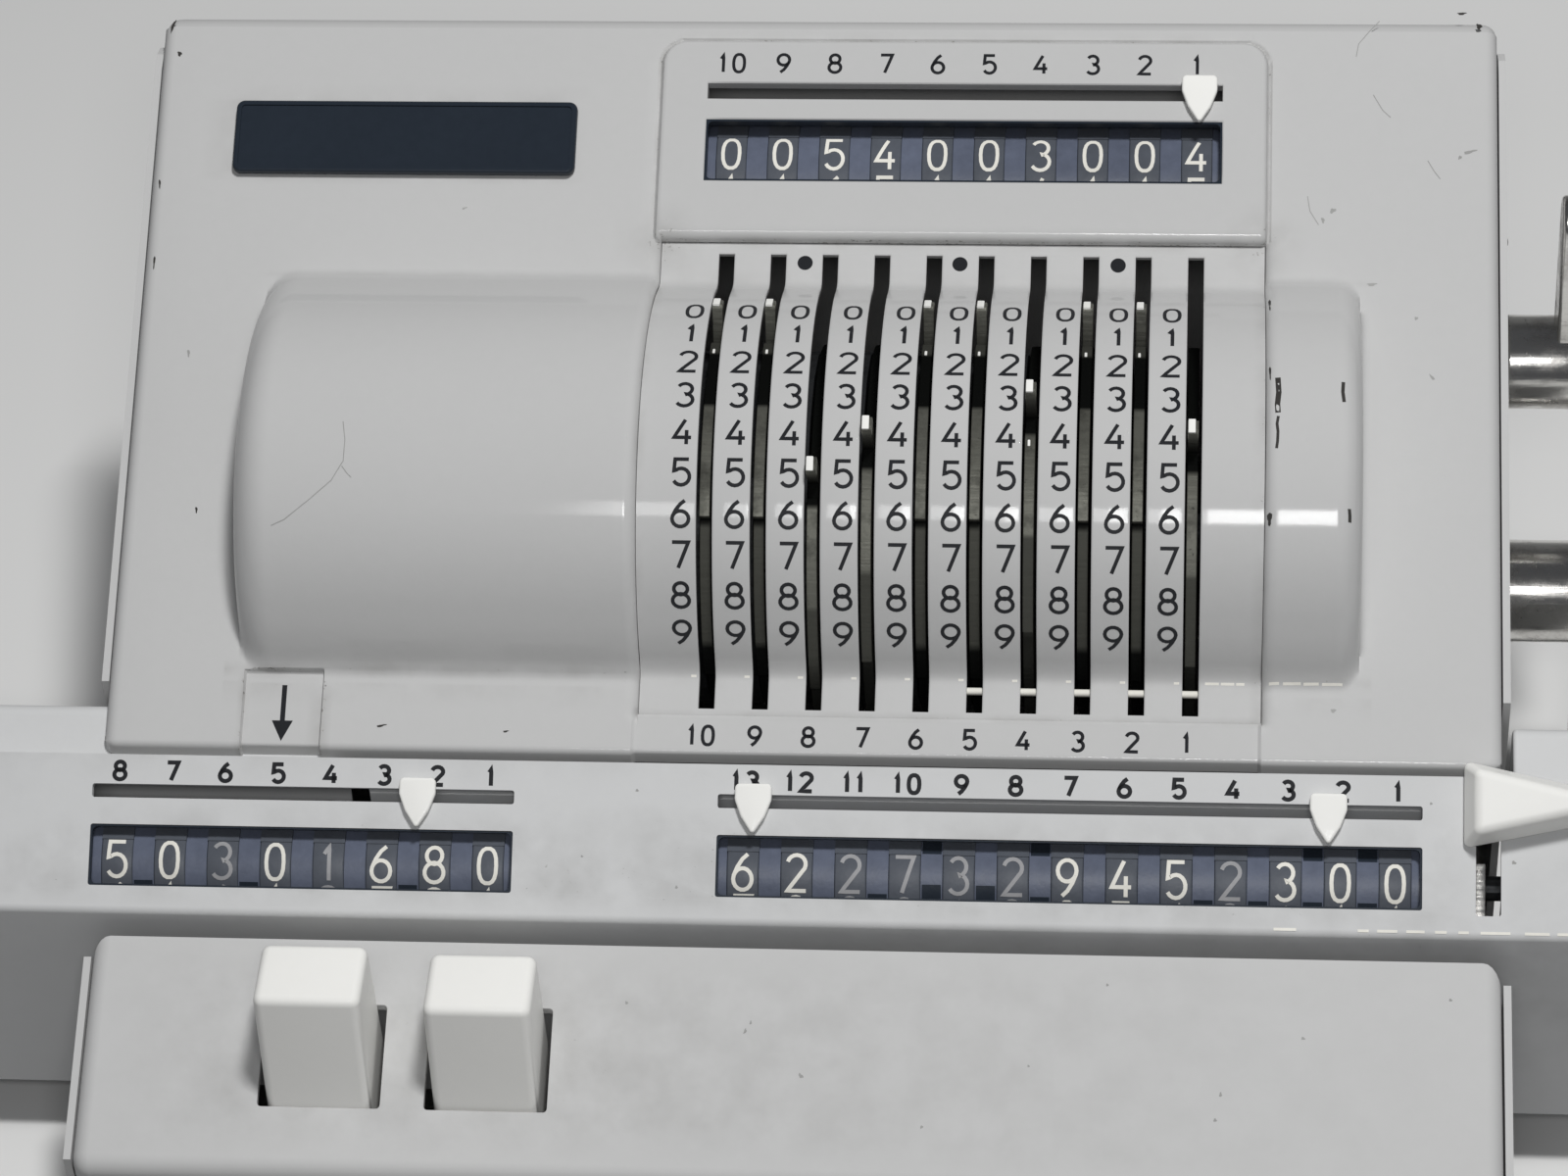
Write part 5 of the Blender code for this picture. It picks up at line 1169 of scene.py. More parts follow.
for column, digit in enumerate(SETTINGS):
    x = -PITCH * column
    tab = digit_angle(digit)
    lever = drawn(f"lever_{column + 1}", lever_outline(tab), x - 0.85, x + 0.85, 0, lever_steel)
    carve(lever,
          turned("bore", [(x - 3, 0), (x - 3, 11.8), (x + 3, 11.8), (x + 3, 0)], (0, 0), None, 48))
    soften(lever, 0.14, 2, 50)

    # The mask darkens the lever in bands by the angle from its tab: oil, and painted shade inside the
    # slot.
    def lever_rule(px, y, z, tab=tab, digit=digit):
        turn = degrees((atan2(z, y) - tab) % (2 * pi))
        if digit == 0:
            marks = ((2.2, 0.0), (13, 0.55), (31, 1.0), (62.3, 0.0), (64.5, 1.0), (100, 0.5))
        else:
            marks = ((2.2, 0.0), (9.5, 1.0), (36, 0.1), (64, 0.55), (100, 0.8))
        for limit, mask in marks:
            if turn < limit:
                return mask
        return 0.0 if turn > 357.5 else 1.0

    write_mask(lever, lever_rule)
    mount(lever, f"setting_lever_{column + 1}", "bright_steel", f"setting_lever_{column + 1}")
    # White caps on the tab, and a second one on the levers at 0 and at 3, are painted highlights where
    # polished steel catches light.
    for number, (radius, place, half_tip) in enumerate(((40.1, 0.0, 1.15), (35.12, 11.5, 0.6))):
        if number == 1 and digit not in (0, 3):
            continue
        low, high = tab + radians(place) - half_tip / 40.0, tab + radians(place) + half_tip / 40.0
        cap = ring_points(radius, low, high, radians(0.5)) + ring_points(radius - 0.35, high, low,
                                                                         radians(0.5))
        wide = 0.75 if number == 0 else 0.4
        glint_cap = drawn(f"lever_painted_glint_{column + 1}_{number + 1}", cap, x - wide, x + wide - 0.35, 0.12,
                    plastic_and_glint, 2)
        mount(glint_cap, f"setting_lever_{column + 1}", "bright_steel")
# The rod behind the slots is in the white figure paint: a painted highlight that shows as a short
# bright streak in each slot.
guide_centre = casing_point(0, -32.85, 16.5)[1:]
guide = turned("lever_guide_rod",
               soft_profile([(-38.0, 0, 0), (-38.0, 0.6, 0.2), (4.0, 0.6, 0.2), (4.0, 0, 0)], 3),
               guide_centre, figure_and_highlight_white, 24)
mount(guide, "housing", "bright_steel")
print("levers set to:", SETTINGS)

# %% [markdown]
# ## Number wheels
# Thirty-one wheels carry the digits 0 to 9. A wheel is turned with soft edges, and its
# figures are filled engraving. An engraver's cutter follows the middle line of a figure, so
# each figure is drawn here as such lines and given a stroke of even width. The strokes are
# sliced finely, so that they bend with a wheel or with the drum.

# %% Figures from strokes
def arc_line(middle_x, middle_y, reach_x, reach_y, start, end, square=1.0):
    """Points of an arc between two angles in degrees; below 1, square makes it boxier"""
    count = max(2, round(abs(end - start) / 20))
    line = []
    for index in range(count + 1):
        turn = radians(start + (end - start) * index / count)
        across = abs(cos(turn)) ** square * (1 if cos(turn) >= 0 else -1)
        up = abs(sin(turn)) ** square * (1 if sin(turn) >= 0 else -1)
        line.append((middle_x + reach_x * across, middle_y + reach_y * up))
    return line


SIX = [(0.50, 1.0), (-0.05, 0.72), (-0.55, 0.28)] + arc_line(0, -0.40, 0.97, 0.60, 160, 520)
STROKES = {
    "0": [arc_line(0, 0, 0.9, 1, 0, 360, 0.82)],
    "1": [[(-0.60, 0.50), (0.15, 1.0), (0.15, -1.0)]],
    "2": [arc_line(0, 0.48, 0.95, 0.52, 165, -25) + [(-0.95, -1.0), (1.0, -1.0)]],
    "3": [arc_line(-0.05, 0.50, 0.85, 0.50, 150, -75) + arc_line(-0.05, -0.46, 0.98, 0.54, 80, -150)],
    "4": [[(0.25, 1.0), (-1.0, -0.45), (1.0, -0.45)], [(0.45, 0.15), (0.45, -1.0)]],
    "5": [[(0.85, 1.0), (-0.75, 1.0), (-0.85, 0.10)] + arc_line(0, -0.36, 0.98, 0.64, 128, -150)],
    "6": [SIX],
    "7": [[(-0.95, 1.0), (0.95, 1.0), (-0.25, -1.0)]],
    "8": [arc_line(0, 0.52, 0.80, 0.48, -90, 270), arc_line(0, -0.44, 0.98, 0.56, 90, 450)],
    "9": [[(-x, -y) for x, y in SIX]],
}


def sliced(line, step):
    """The line with its long parts cut up"""
    points = [line[0]]
    for before, after in zip(line, line[1:]):
        count = max(1, round(hypot(after[0] - before[0], after[1] - before[1]) / step))
        points += [(before[0] + (after[0] - before[0]) * index / count,
                    before[1] + (after[1] - before[1]) * index / count) for index in range(1,
                                                                                           count + 1)]
    return points


def stroke_sides(line, weight):
    """Left and right side of a stroke, mitred at its corners"""
    closed = hypot(line[0][0] - line[-1][0], line[0][1] - line[-1][1]) < 1e-6
    left, right = [], []
    for index, (x, y) in enumerate(line):
        before = line[index - 1] if index else (line[-2] if closed else None)
        after = line[index + 1] if index < len(line) - 1 else (line[1] if closed else None)
        ways = []
        if before:
            ways.append(Vector((x - before[0], y - before[1])).normalized())
        if after:
            ways.append(Vector((after[0] - x, after[1] - y)).normalized())
        way = sum(ways, Vector((0, 0))).normalized()
        reach = weight / 2 / max(way.dot(ways[0]), 0.55)
        left.append((x - way.y * reach, y + way.x * reach))
        right.append((x + way.y * reach, y - way.x * reach))
    return left, right


class Sheet:
    """Gathers figures, strokes and flat shapes into one piece"""

    def __init__(self, name, finish):
        self.name, self.finish, self.points, self.faces = name, finish, [], []

    def add(self, text, place, height, half=0.33, weight=0.12):
        """Adds a number; place(across, up, lift) gives its points in millimetres"""
        widths = [0.22 if letter == "1" else half for letter in text]
        along = -sum(widths) - 0.08 * (len(text) - 1)
        for letter, width in zip(text, widths):
            for line in STROKES[letter]:
                drawn_line = [(height * (along + width + x * (width - weight / 2)),
                               height * y * (0.5 - weight / 2)) for x, y in line]
                self.stroke(drawn_line, weight * height, place)
            along += 2 * width + 0.16

    def stroke(self, line, weight, place):
        """Adds a line of even width"""
        left, right = stroke_sides(sliced(line, max(weight * 1.2, 0.4)), weight)
        closed = hypot(line[0][0] - line[-1][0], line[0][1] - line[-1][1]) < 1e-6
        if closed:
            left, right = left[:-1], right[:-1]
        first, count = len(self.points), len(left)
        for lift in (0, 1):
            self.points += [place(x, y, lift) for x, y in left] + [place(x, y, lift) for x, y in right]
        for index in range(count if closed else count - 1):
            a, b = first + index, first + (index + 1) % count
            c, d = b + count, a + count
            top = 2 * count
            self.faces += [[a, b, c, d], [d + top, c + top, b + top, a + top], [b, a, a + top, b + top],
                           [d, c, c + top, d + top]]
        for index in () if closed else (0, count - 1):
            a = first + index
            self.faces.append([a, a + count, a + 3 * count, a + 2 * count])

    def shape(self, outline, place):
        """Adds a flat outline as a thin body"""
        first = len(self.points)
        count = len(outline)
        for lift in (0, 1):
            self.points += [place(x, y, lift) for x, y in outline]
        self.faces.append([first + index for index in range(count)])
        self.faces.append([first + count + index for index in reversed(range(count))])
        for index in range(count):
            follow = (index + 1) % count
            self.faces.append([first + index, first + follow, first + count + follow,
                               first + count + index])

    def finished(self):
        return mesh_piece(self.name, self.points, self.faces, self.finish)


print("lines of a figure 4:", len(STROKES["4"]))

# %% Turn the wheels and fill their figures
WHEEL_RADIUS, WHEEL_WIDTH = 10.6, 5.0
WHEEL_CENTRE = {"check": casing_point(0, 58.0, 7.1)[1:], "counter": carriage_point(0, 16.1, -12.4)[1:],
                "result": carriage_point(0, 16.1, -12.4)[1:]}
SHOWN = {"check": (4, 0, 0, 3, 0, 0, 4, 5, 0, 0), "counter": (0, 8, 6, 1, 0, 3, 0, 5),
         "result": (0, 0, 3, 2, 5, 4, 9, 2, 3, 7, 2, 2, 6)}
SHOWN_AT = {"check": UPRIGHT - radians(5.0), "counter": radians(127.7), "result": radians(128.7)}
FIGURE_SIZE = {"check": (5.9, 0.31), "counter": (6.2, 0.30), "result": (6.3, 0.29)}
WORN = {"check": (), "counter": (3, 5), "result": (3, 7, 8, 9, 10)}


def build_wheel(name, x, centre):
    """A wheel with soft rims and a shallow band for the figures"""
    half, bore = WHEEL_WIDTH / 2, 2.3
    profile = soft_profile([(x - half, bore, 0), (x - half, WHEEL_RADIUS, 0.25),
                            (x + half, WHEEL_RADIUS, 0.25), (x + half, bore, 0)], 3)
    return turned(name, profile, centre, wheel_black, 72)


for register, (first, columns) in REGISTERS.items():
    centre = WHEEL_CENTRE[register]
    height, half = FIGURE_SIZE[register]
    for column in range(columns):
        x = first - column * PITCH
        node = f"{register}_dial_{column + 1}"
        mount(build_wheel(f"{register}_wheel_{column + 1}", x, centre), node, "dial_enamel", node)
        paint = figure_worn if column in WORN[register] else figure_and_highlight_white
        figures = Sheet(f"{register}_figures_{column + 1}", paint)
        for step in range(10):
            digit = (SHOWN[register][column] + step) % 10
            middle = SHOWN_AT[register] + radians(36.0 * step)

            def on_wheel(across, up, lift, x=x, middle=middle, centre=centre):
                radius = WHEEL_RADIUS + 0.012 + 0.05 * lift
                turn = middle - up / WHEEL_RADIUS
                return (x + across, centre[0] + radius * cos(turn), centre[1] + radius * sin(turn))

            figures.add(str(digit), on_wheel, height, half, 0.10)
        mount(figures.finished(), node, "dial_enamel")
print("wheels:", sum(columns for first, columns in REGISTERS.values()))

# %% [markdown]
# ## Spacers between the wheels
# A ring keeps each wheel from its neighbour, and one more closes each end. They repeat at
# the pitch of the columns, so Geometry Nodes make them: a line of points, one ring swept
# round a circle, and an instance of the ring on every point.

# %% Spacers by Geometry Nodes
def tree_input(tree, name, kind):
    return tree.interface.new_socket(name=name, in_out="INPUT", socket_type=kind)


def tree_output(tree, geometry, finish):
    """Ends a tree in real geometry with its finish"""
    tree.interface.new_socket(name="Geometry", in_out="OUTPUT", socket_type="NodeSocketGeometry")
    real = tree.nodes.new("GeometryNodeRealizeInstances")
    tree.links.new(geometry, real.inputs["Geometry"])
    paint = tree.nodes.new("GeometryNodeSetMaterial")
    paint.inputs["Material"].default_value = finish
    tree.links.new(real.outputs["Geometry"], paint.inputs["Geometry"])
    tree.links.new(paint.outputs["Geometry"], tree.nodes.new("NodeGroupOutput").inputs[0])


def build_spacer_tree():
    """Rings of one size in a row along X"""
    tree = bpy.data.node_groups.new("spacer_rings", "GeometryNodeTree")
    for name, kind in (("Count", "NodeSocketInt"), ("Start", "NodeSocketVector"),
                       ("Pitch", "NodeSocketFloat"),
                       ("Radius", "NodeSocketFloat"), ("Wall", "NodeSocketFloat"),
                       ("Width", "NodeSocketFloat")):
        tree_input(tree, name, kind)
    given = tree.nodes.new("NodeGroupInput").outputs
    link = tree.links.new
    step = tree.nodes.new("ShaderNodeCombineXYZ")
    link(given["Pitch"], step.inputs["X"])
    line = tree.nodes.new("GeometryNodeMeshLine")
    link(given["Count"], line.inputs["Count"])
    link(given["Start"], line.inputs["Start Location"])
    link(step.outputs[0], line.inputs["Offset"])
    circle = tree.nodes.new("GeometryNodeCurvePrimitiveCircle")
    circle.inputs["Resolution"].default_value = 64
    link(given["Radius"], circle.inputs["Radius"])
    section = tree.nodes.new("GeometryNodeCurvePrimitiveQuadrilateral")
    link(given["Wall"], section.inputs["Width"])
    link(given["Width"], section.inputs["Height"])
    ring = tree.nodes.new("GeometryNodeCurveToMesh")
    link(circle.outputs["Curve"], ring.inputs["Curve"])
    link(section.outputs["Curve"], ring.inputs["Profile Curve"])
    place = tree.nodes.new("GeometryNodeInstanceOnPoints")
    place.inputs["Rotation"].default_value = (0, pi / 2, 0)
    link(line.outputs["Mesh"], place.inputs["Points"])
    link(ring.outputs["Mesh"], place.inputs["Instance"])
    tree_output(tree, place.outputs["Instances"], spacer_blue)
    return tree


def grow(name, tree, values, body, slot, angle=35):
    """Runs a tree with its values and keeps the result as a plain mesh on one body"""
    holder = bpy.data.objects.new(name, bpy.data.meshes.new(name))
    bpy.context.scene.collection.objects.link(holder)
    modifier = holder.modifiers.new("nodes", "NODES")
    modifier.node_group = tree
    for item in tree.interface.items_tree:
        if item.in_out == "INPUT":
            modifier[item.identifier] = values[item.name]
    settle(holder)
    builder = bmesh.new()
    builder.from_mesh(holder.data)
    bmesh.ops.remove_doubles(builder, verts=builder.verts, dist=1e-6)
    bmesh.ops.recalc_face_normals(builder, faces=builder.faces)
    builder.to_mesh(holder.data)
    builder.free()
    holder.data.shade_smooth()
    holder.data.set_sharp_from_angle(angle=radians(angle))
    return mount(holder, body, slot)


spacer_tree = build_spacer_tree()
for register, (first, columns) in REGISTERS.items():
    y, z = WHEEL_CENTRE[register]
    start = AXIS + MM * Vector((first - (columns - 0.5) * PITCH, y, z))
    grow(f"{register}_spacers", spacer_tree, {
        "Count": columns + 1, "Start": start, "Pitch": PITCH * MM, "Radius": 6.45 * MM,
        "Wall": 7.9 * MM,
        "Width": 3.4 * MM}, "housing" if register == "check" else "carriage", "dial_enamel")
print("spacers per register:", {name: columns + 1 for name, (first, columns) in REGISTERS.items()})

# %% [markdown]
# ## Shades, painted shadows in the windows and the guide under the knob
# A curved shade over each wheel hides the figure above the one that is read, so that each
# window shows a single row. Dark slips between the spacers are painted shadows, and a dark
# rim inside each window is painted shade along its cut edges. Under the knob's slot a bright
# blade stands on the rail.

# %% Bend the shades, add painted shadows to the windows and stand the blade
def bars(name, outline, spans, finish):
    """One piece with a copy of the outline drawn out over each span of X"""
    points, faces = [], []
    count = len(outline)
    for left, right in spans:
        first = len(points)
        points += [(left, y, z) for y, z in outline] + [(right, y, z) for y, z in outline]
        faces.append([first + index for index in range(count)])
        faces.append([first + count + index for index in reversed(range(count))])
        for index in range(count):
            follow = (index + 1) % count
            faces.append([first + index, first + follow, first + count + follow, first + count + index])
    return mesh_piece(name, points, faces, finish)


# Dark slips between the spacers are painted shadows: angles from the figure that is read, and the gaps
# that have them.
SHADOW_PATCHES = {"check": ((25, 48, (0.5, 2.5, 3.5, 6.5)),), "counter": ((18, 40, (1.5, 4.5, 6.5)),),
         "result": ((17, 40, (0.5, 1.5, 2.5, 3.5, 6.5, 9.5)), (8, 40, (7.5, 8.5)),
                    (-34, -19, (0.5, 1.5, 6.5, 8.5)))}


def curved_strip(register, low, high, start, end):
    """A thin strip round the wheels' axis between two angles from the shown figure"""
    near, far = SHOWN_AT[register] + radians(start), SHOWN_AT[register] + radians(end)
    strip = ring_points(low, near, far, radians(3)) + ring_points(high, far, near, radians(3))
    return shifted(strip, WHEEL_CENTRE[register])


for register, (first, columns) in REGISTERS.items():
    body = "housing" if register == "check" else "carriage"
    wheels = [(first - column * PITCH - 2.52,
               first - column * PITCH + 2.52) for column in range(columns)]
    shade = bars(f"{register}_shades", curved_strip(register, 10.68, 10.74, -62, -17.5), wheels,
                 wheel_black)
    mount(shade, body, "dial_enamel")
    for number, (start, end, gaps) in enumerate(SHADOW_PATCHES[register]):
        spans = [(first - gap * PITCH - 1.5, first - gap * PITCH + 1.5) for gap in gaps]
        shadow_patches = bars(f"{register}_slips_{number + 1}",
                     curved_strip(register, 10.41, 10.45, start, end), spans, slate_and_shadow)
        mount(shadow_patches, body, "dial_enamel")


def window_rim(register, locate, near, far, surface, depth):
    """A dark rim inside a window, with round inner corners: painted shade along the window's cut edges
    """
    left, right = window_span(register)

    def rectangle(inset, corner):
        return round_outline([(left + inset, near + inset, corner),
                              (right - inset, near + inset, corner),
                              (right - inset, far - inset, corner),
                              (left + inset, far - inset, corner)], 5)

    rim = plate_on(f"{register}_window_rim", locate, rectangle(0.02, 0.05), surface - depth,
                   surface - 0.24, 0, slate_and_shadow)
    hole = plate_on("hole", locate, rectangle(0.32, 0.9), surface - depth - 1.0, surface + 1.0, 0, None)
    return carve(rim, hole)


mount(window_rim("check", casing_point, *CHECK_WINDOW[2:], pad_top, 2.0), "housing", "slate_plate")
for register in ("counter", "result"):
    mount(window_rim(register, carriage_point, 11.2, 21.0, 0.0, 1.15), "carriage", "dial_enamel")

blade_top = [carriage_point(0, down, -5.5)[1:] for down in (13.0, 23.5)]
blade = drawn("knob_blade", blade_top + [(-64.0, -58.0), (-56.0, -58.0)], KNOB_X - 1.7, KNOB_X - 0.1,
              0.1, chrome)
mount(blade, "carriage", "bright_steel")
print("window rims:", len(REGISTERS), "blade corners:", len(blade_top) + 2)

# %% [markdown]
# ## Printed figures
# The column numbers, the digits beside the slots, three dots and the arrow are printed on
# the enamel. Ink has almost no thickness, so each figure is a body a few hundredths of a
# millimetre thick that lies on its face and bends with the drum.

# %% Print the casing and the drum
INK_LOW, INK_THICK = 0.006, 0.02


def flat_on(locate, x, distance, surface, way=1.0):
    """Places a figure on a sloping face; way is -1 where the face is measured downwards"""
    return lambda across, up, lift: locate(x + across, distance + way * up,
                                           surface + INK_LOW + INK_THICK * lift)


drum_ink = Sheet("drum_figures", print_ink)
for line in SLOT_LINES:
    for digit in range(10):
        def on_drum(across, up, lift, line=line, digit=digit):
            radius = DRUM_RADIUS + INK_LOW + INK_THICK * lift
            turn = radians(10.0 * digit - 40.9) - up / DRUM_RADIUS
            return casing_point(line - 3.7 + across, ROLL_BACK - radius * sin(turn), radius * cos(turn))

        drum_ink.add(str(digit), on_drum, 4.7, 0.35, 0.125)
for x in (-63.5, -38.2, -12.5):
    dot = [(1.25 * cos(2 * pi * step / 24), 1.25 * sin(2 * pi * step / 24)) for step in range(24)]
    drum_ink.shape(dot, flat_on(casing_point, x, 39.3, DRUM_FLAT))
mount(drum_ink.finished(), "housing", "grey_enamel")

casing_ink = Sheet("casing_figures", print_ink)
for column in range(10):
    x = -PITCH * column
    casing_ink.add(str(column + 1), flat_on(casing_point, x - 0.2, 73.8, pad_top), 3.7, 0.34, 0.14)
    casing_ink.add(str(column + 1), flat_on(casing_point, x - 0.4, -41.6, CASING_HEIGHT - 0.45), 3.6,
                   0.34, 0.15)
arrow = [(-144.5, -34.3), (-143.7, -34.3), (-143.7, -40.2), (-142.4, -40.2), (-144.1, -43.6),
         (-145.8, -40.2),
         (-144.5, -40.2)]
casing_ink.shape(arrow, flat_on(casing_point, 0.0, 0.0, CASING_HEIGHT - 0.7))
mount(casing_ink.finished(), "housing", "grey_enamel")

carriage_ink = Sheet("carriage_figures", print_ink)
for register in ("counter", "result"):
    first, columns = REGISTERS[register]
    for column in range(columns):
        x = first - column * PITCH
        carriage_ink.add(str(column + 1), flat_on(carriage_point, x + 0.25, 2.65, 0.0, -1.0), 3.5,
                         0.36, 0.19)
mount(carriage_ink.finished(), "carriage", "carriage_enamel")
print("printed figures:", len(drum_ink.points), "points on the drum")

# %% [markdown]
# ## Marks of use
# Fifty years on desks have chipped the enamel at corners and ridges, and left scuffs and
# fine scratches. They are modelled where they are, as flakes and lines of no thickness to
# speak of, in the grey of a scuff or the brown-black of bare, oily steel. Thin white strokes
# along the drum's lower bend and the carriage's front bend are painted highlights.

# %% Chips, scuffs and scratches
def flake(x, y, wide, long, turn):
    """An uneven little outline; turn also varies its shape"""
    outline = []
    for step in range(14):
        angle = 2 * pi * step / 14
        reach = 1 + 0.22 * sin(3 * angle + 5 * turn) + 0.14 * sin(5 * angle + 11 * turn)
        across, up = wide / 2 * reach * cos(angle), long / 2 * reach * sin(angle)
        outline.append((x + across * cos(turn) - up * sin(turn),
                        y + across * sin(turn) + up * cos(turn)))
    return outline


def on_casing(x, along, lift):
    return casing_point(x, along, casing_top(x, along) + 0.012 + 0.015 * lift)


def on_deck(x, forward, lift):
    return deck_point(x, forward, 0.012 + 0.015 * lift)


def on_face(x, down, lift):
    return carriage_point(x, down, 0.012 + 0.015 * lift)


chips = Sheet("casing_chips", bare_chip)
chips.stroke([(13.1, 12.9), (13.25, 10.2), (13.05, 8.1), (13.15, 6.6)], 0.85, on_casing)
chips.stroke([(13.2, 6.0), (13.0, 4.7), (13.15, 3.4), (13.1, 1.8), (12.95, 0.6)], 0.45, on_casing)
chips.stroke([(23.3, 12.2), (23.2, 10.4), (23.4, 8.6)], 0.55, on_casing)
chips.stroke([(24.3, -8.6), (24.4, -9.6), (24.4, -10.6)], 0.5, on_casing)
for x, along, wide, long, turn in ((12.0, -10.2, 0.7, 2.0, 0.0), (11.9, 29.0, 0.35, 3.0, 0.02),
                                   (11.9, 14.0, 0.3, 2.6, 0.03),
                                   (45.8, 81.5, 0.9, 1.0, 0.4), (43.0, 83.8, 1.4, 0.45, 0.1),
                                   (-169.7, 75.5, 0.7, 0.9, 0.3),
                                   (-171.2, 80.6, 0.45, 2.2, -0.3), (-160.6, -5.1, 0.35, 1.1, 0.1),
                                   (-128.0, -41.0, 1.6, 0.35, 0.25), (-171.0, 38.0, 0.3, 2.4, 0.0),
                                   (-171.2, 52.0, 0.3, 1.6, 0.1), (-108.0, -41.6, 0.9, 0.3, 0.2)):
    chips.shape(flake(x, along, wide, long, turn), on_casing)
mount(chips.finished(), "housing", "grey_enamel")

scuffs = Sheet("casing_scuffs", scuff_grey)
for x, along, wide, long, turn in ((22.1, 48.7, 1.1, 0.7, 0.6), (20.5, 47.0, 0.5, 1.0, 0.2),
                                   (44.2, 59.2, 2.2, 0.5, 0.3),
                                   (42.6, 58.2, 0.7, 0.5, 0.9), (28.4, 35.9, 1.5, 0.5, 0.1),
                                   (35.5, 30.1, 0.6, 0.5, 0.5),
                                   (22.5, -36.0, 0.8, 0.6, 0.2), (-137.7, -34.6, 0.8, 0.4, 0.4),
                                   (38.0, 20.0, 0.4, 1.2, 0.7),
                                   (-120.0, 48.0, 0.9, 0.3, 0.4), (-164.0, 22.0, 0.4, 1.3, 0.1)):
    scuffs.shape(flake(x, along, wide, long, turn), on_casing)
for line in ([(29.6, 82.4), (28.0, 80.6), (26.2, 78.3), (25.8, 76.0)],
             [(18.0, 51.2), (18.4, 48.6), (19.8, 46.2)],
             [(28.6, 69.2), (30.1, 66.5), (31.4, 65.2)], [(37.4, 57.6), (38.4, 55.8), (39.4, 54.4)],
             [(-134.0, 3.3), (-133.5, 0.2), (-133.6, -3.2), (-135.4, -6.3), (-138.9, -9.3),
              (-142.8, -12.3), (-144.9, -13.2)],
             [(-133.8, -4.0), (-132.9, -5.2), (-132.2, -5.8)]):
    scuffs.stroke(line, 0.14, on_casing)
mount(scuffs.finished(), "housing", "grey_enamel")


def on_drum_flat(x, along, lift):
    return casing_point(x, along, drum_top(x, along) + 0.012 + 0.015 * lift)


# White strokes along the lower bend of the drum and the bulge are painted highlights where the bend
# catches light.
painted_junction_highlights = Sheet("painted_junction_highlights", figure_and_highlight_white)
for left, right in ((12.4, 14.0), (14.6, 17.4), (17.8, 20.2), (20.7, 23.9)):
    painted_junction_highlights.stroke([(left, -31.9), (right, -31.85)], 0.4, on_casing)
for left, right in ((2.4, 4.6), (4.9, 7.0), (7.3, 8.6)):
    painted_junction_highlights.stroke([(left, -31.6), (right, -31.6)], 0.4, on_drum_flat)
for line in SLOT_LINES:
    painted_junction_highlights.stroke([(line - 2.6, -31.6), (line - 1.75, -31.6)], 0.35, on_drum_flat)
mount(painted_junction_highlights.finished(), "housing", "grey_enamel")
# White strokes along the carriage's front bend are painted highlights where the bend catches light.
painted_bend_highlights = Sheet("painted_bend_highlights", figure_and_highlight_white)
for left, right in ((13.5, 17.0), (26.5, 28.2), (29.5, 32.6), (34.0, 36.8), (38.4, 40.2), (42.0, 43.6),
                    (45.4, 50.0),
                    (52.2, 56.0), (57.2, 62.0), (63.4, 66.8)):
    painted_bend_highlights.stroke([(left, 24.35), (right, 24.35)], 0.45, lambda x, down, lift: carriage_point(
        x, down, 0.012 + 0.015 * lift))
mount(painted_bend_highlights.finished(), "carriage", "carriage_enamel")

specks = Sheet("deck_specks", scuff_grey)
for x, forward, wide, long, turn in ((-68.2, 86.5, 0.4, 0.8, 0.3), (-67.4, 85.2, 0.3, 0.6, 0.1),
                                     (-59.2, 93.0, 0.9, 0.5, 0.7),
                                     (4.8, 98.2, 0.5, 0.5, 0.2), (-12.1, 78.4, 0.4, 0.4, 0.5),
                                     (-87.0, 82.6, 0.5, 0.4, 0.9),
                                     (18.2, 85.8, 0.6, 0.4, 0.3), (-40.2, 100.2, 0.4, 0.5, 0.8),
                                     (40.8, 79.6, 0.5, 0.4, 0.4),
                                     (5.6, 94.4, 0.4, 0.7, 0.1), (-24.0, 90.8, 0.4, 0.3, 0.6)):
    specks.shape(flake(x, forward, wide, long, turn), on_deck)
mount(specks.finished(), "housing", "grey_enamel")

face_specks = Sheet("carriage_specks", scuff_grey)
for x, down, wide, long, turn in ((50.5, 13.3, 0.7, 0.5, 0.4), (-86.6, 4.4, 0.5, 0.4, 0.2),
                                  (37.7, 4.3, 0.4, 0.4, 0.7),
                                  (-79.9, 19.6, 0.4, 0.5, 0.1), (-95.0, 15.0, 0.4, 0.3, 0.5)):
    face_specks.shape(flake(x, down, wide, long, turn), on_face)
mount(face_specks.finished(), "carriage", "carriage_enamel")
print("pieces of wear:", 6)

# %% [markdown]
# ## Crank, clearing lever and grip
# These stand out to the right. Hubs and shafts are turned bright steel with a worn chrome
# coat, the arms are flat bars with soft edges, and the grip is a turned white moulding.

# %% Crank side
CRANK_CENTRE = (21.4 * cos(radians(-70)), 21.4 * sin(radians(-70)))


def gear_outline(phase):
    """The spur gear that the crank shares with the rotor"""
    points = []
    for tooth in range(16):
        middle = phase + tooth * 2 * pi / 16
        for radius, share in ((9.4, -0.40), (11.6, -0.24), (11.6, 0.24), (9.4, 0.40)):
            points.append((radius * cos(middle + share * pi / 16),
                           radius * sin(middle + share * pi / 16)))
    return points


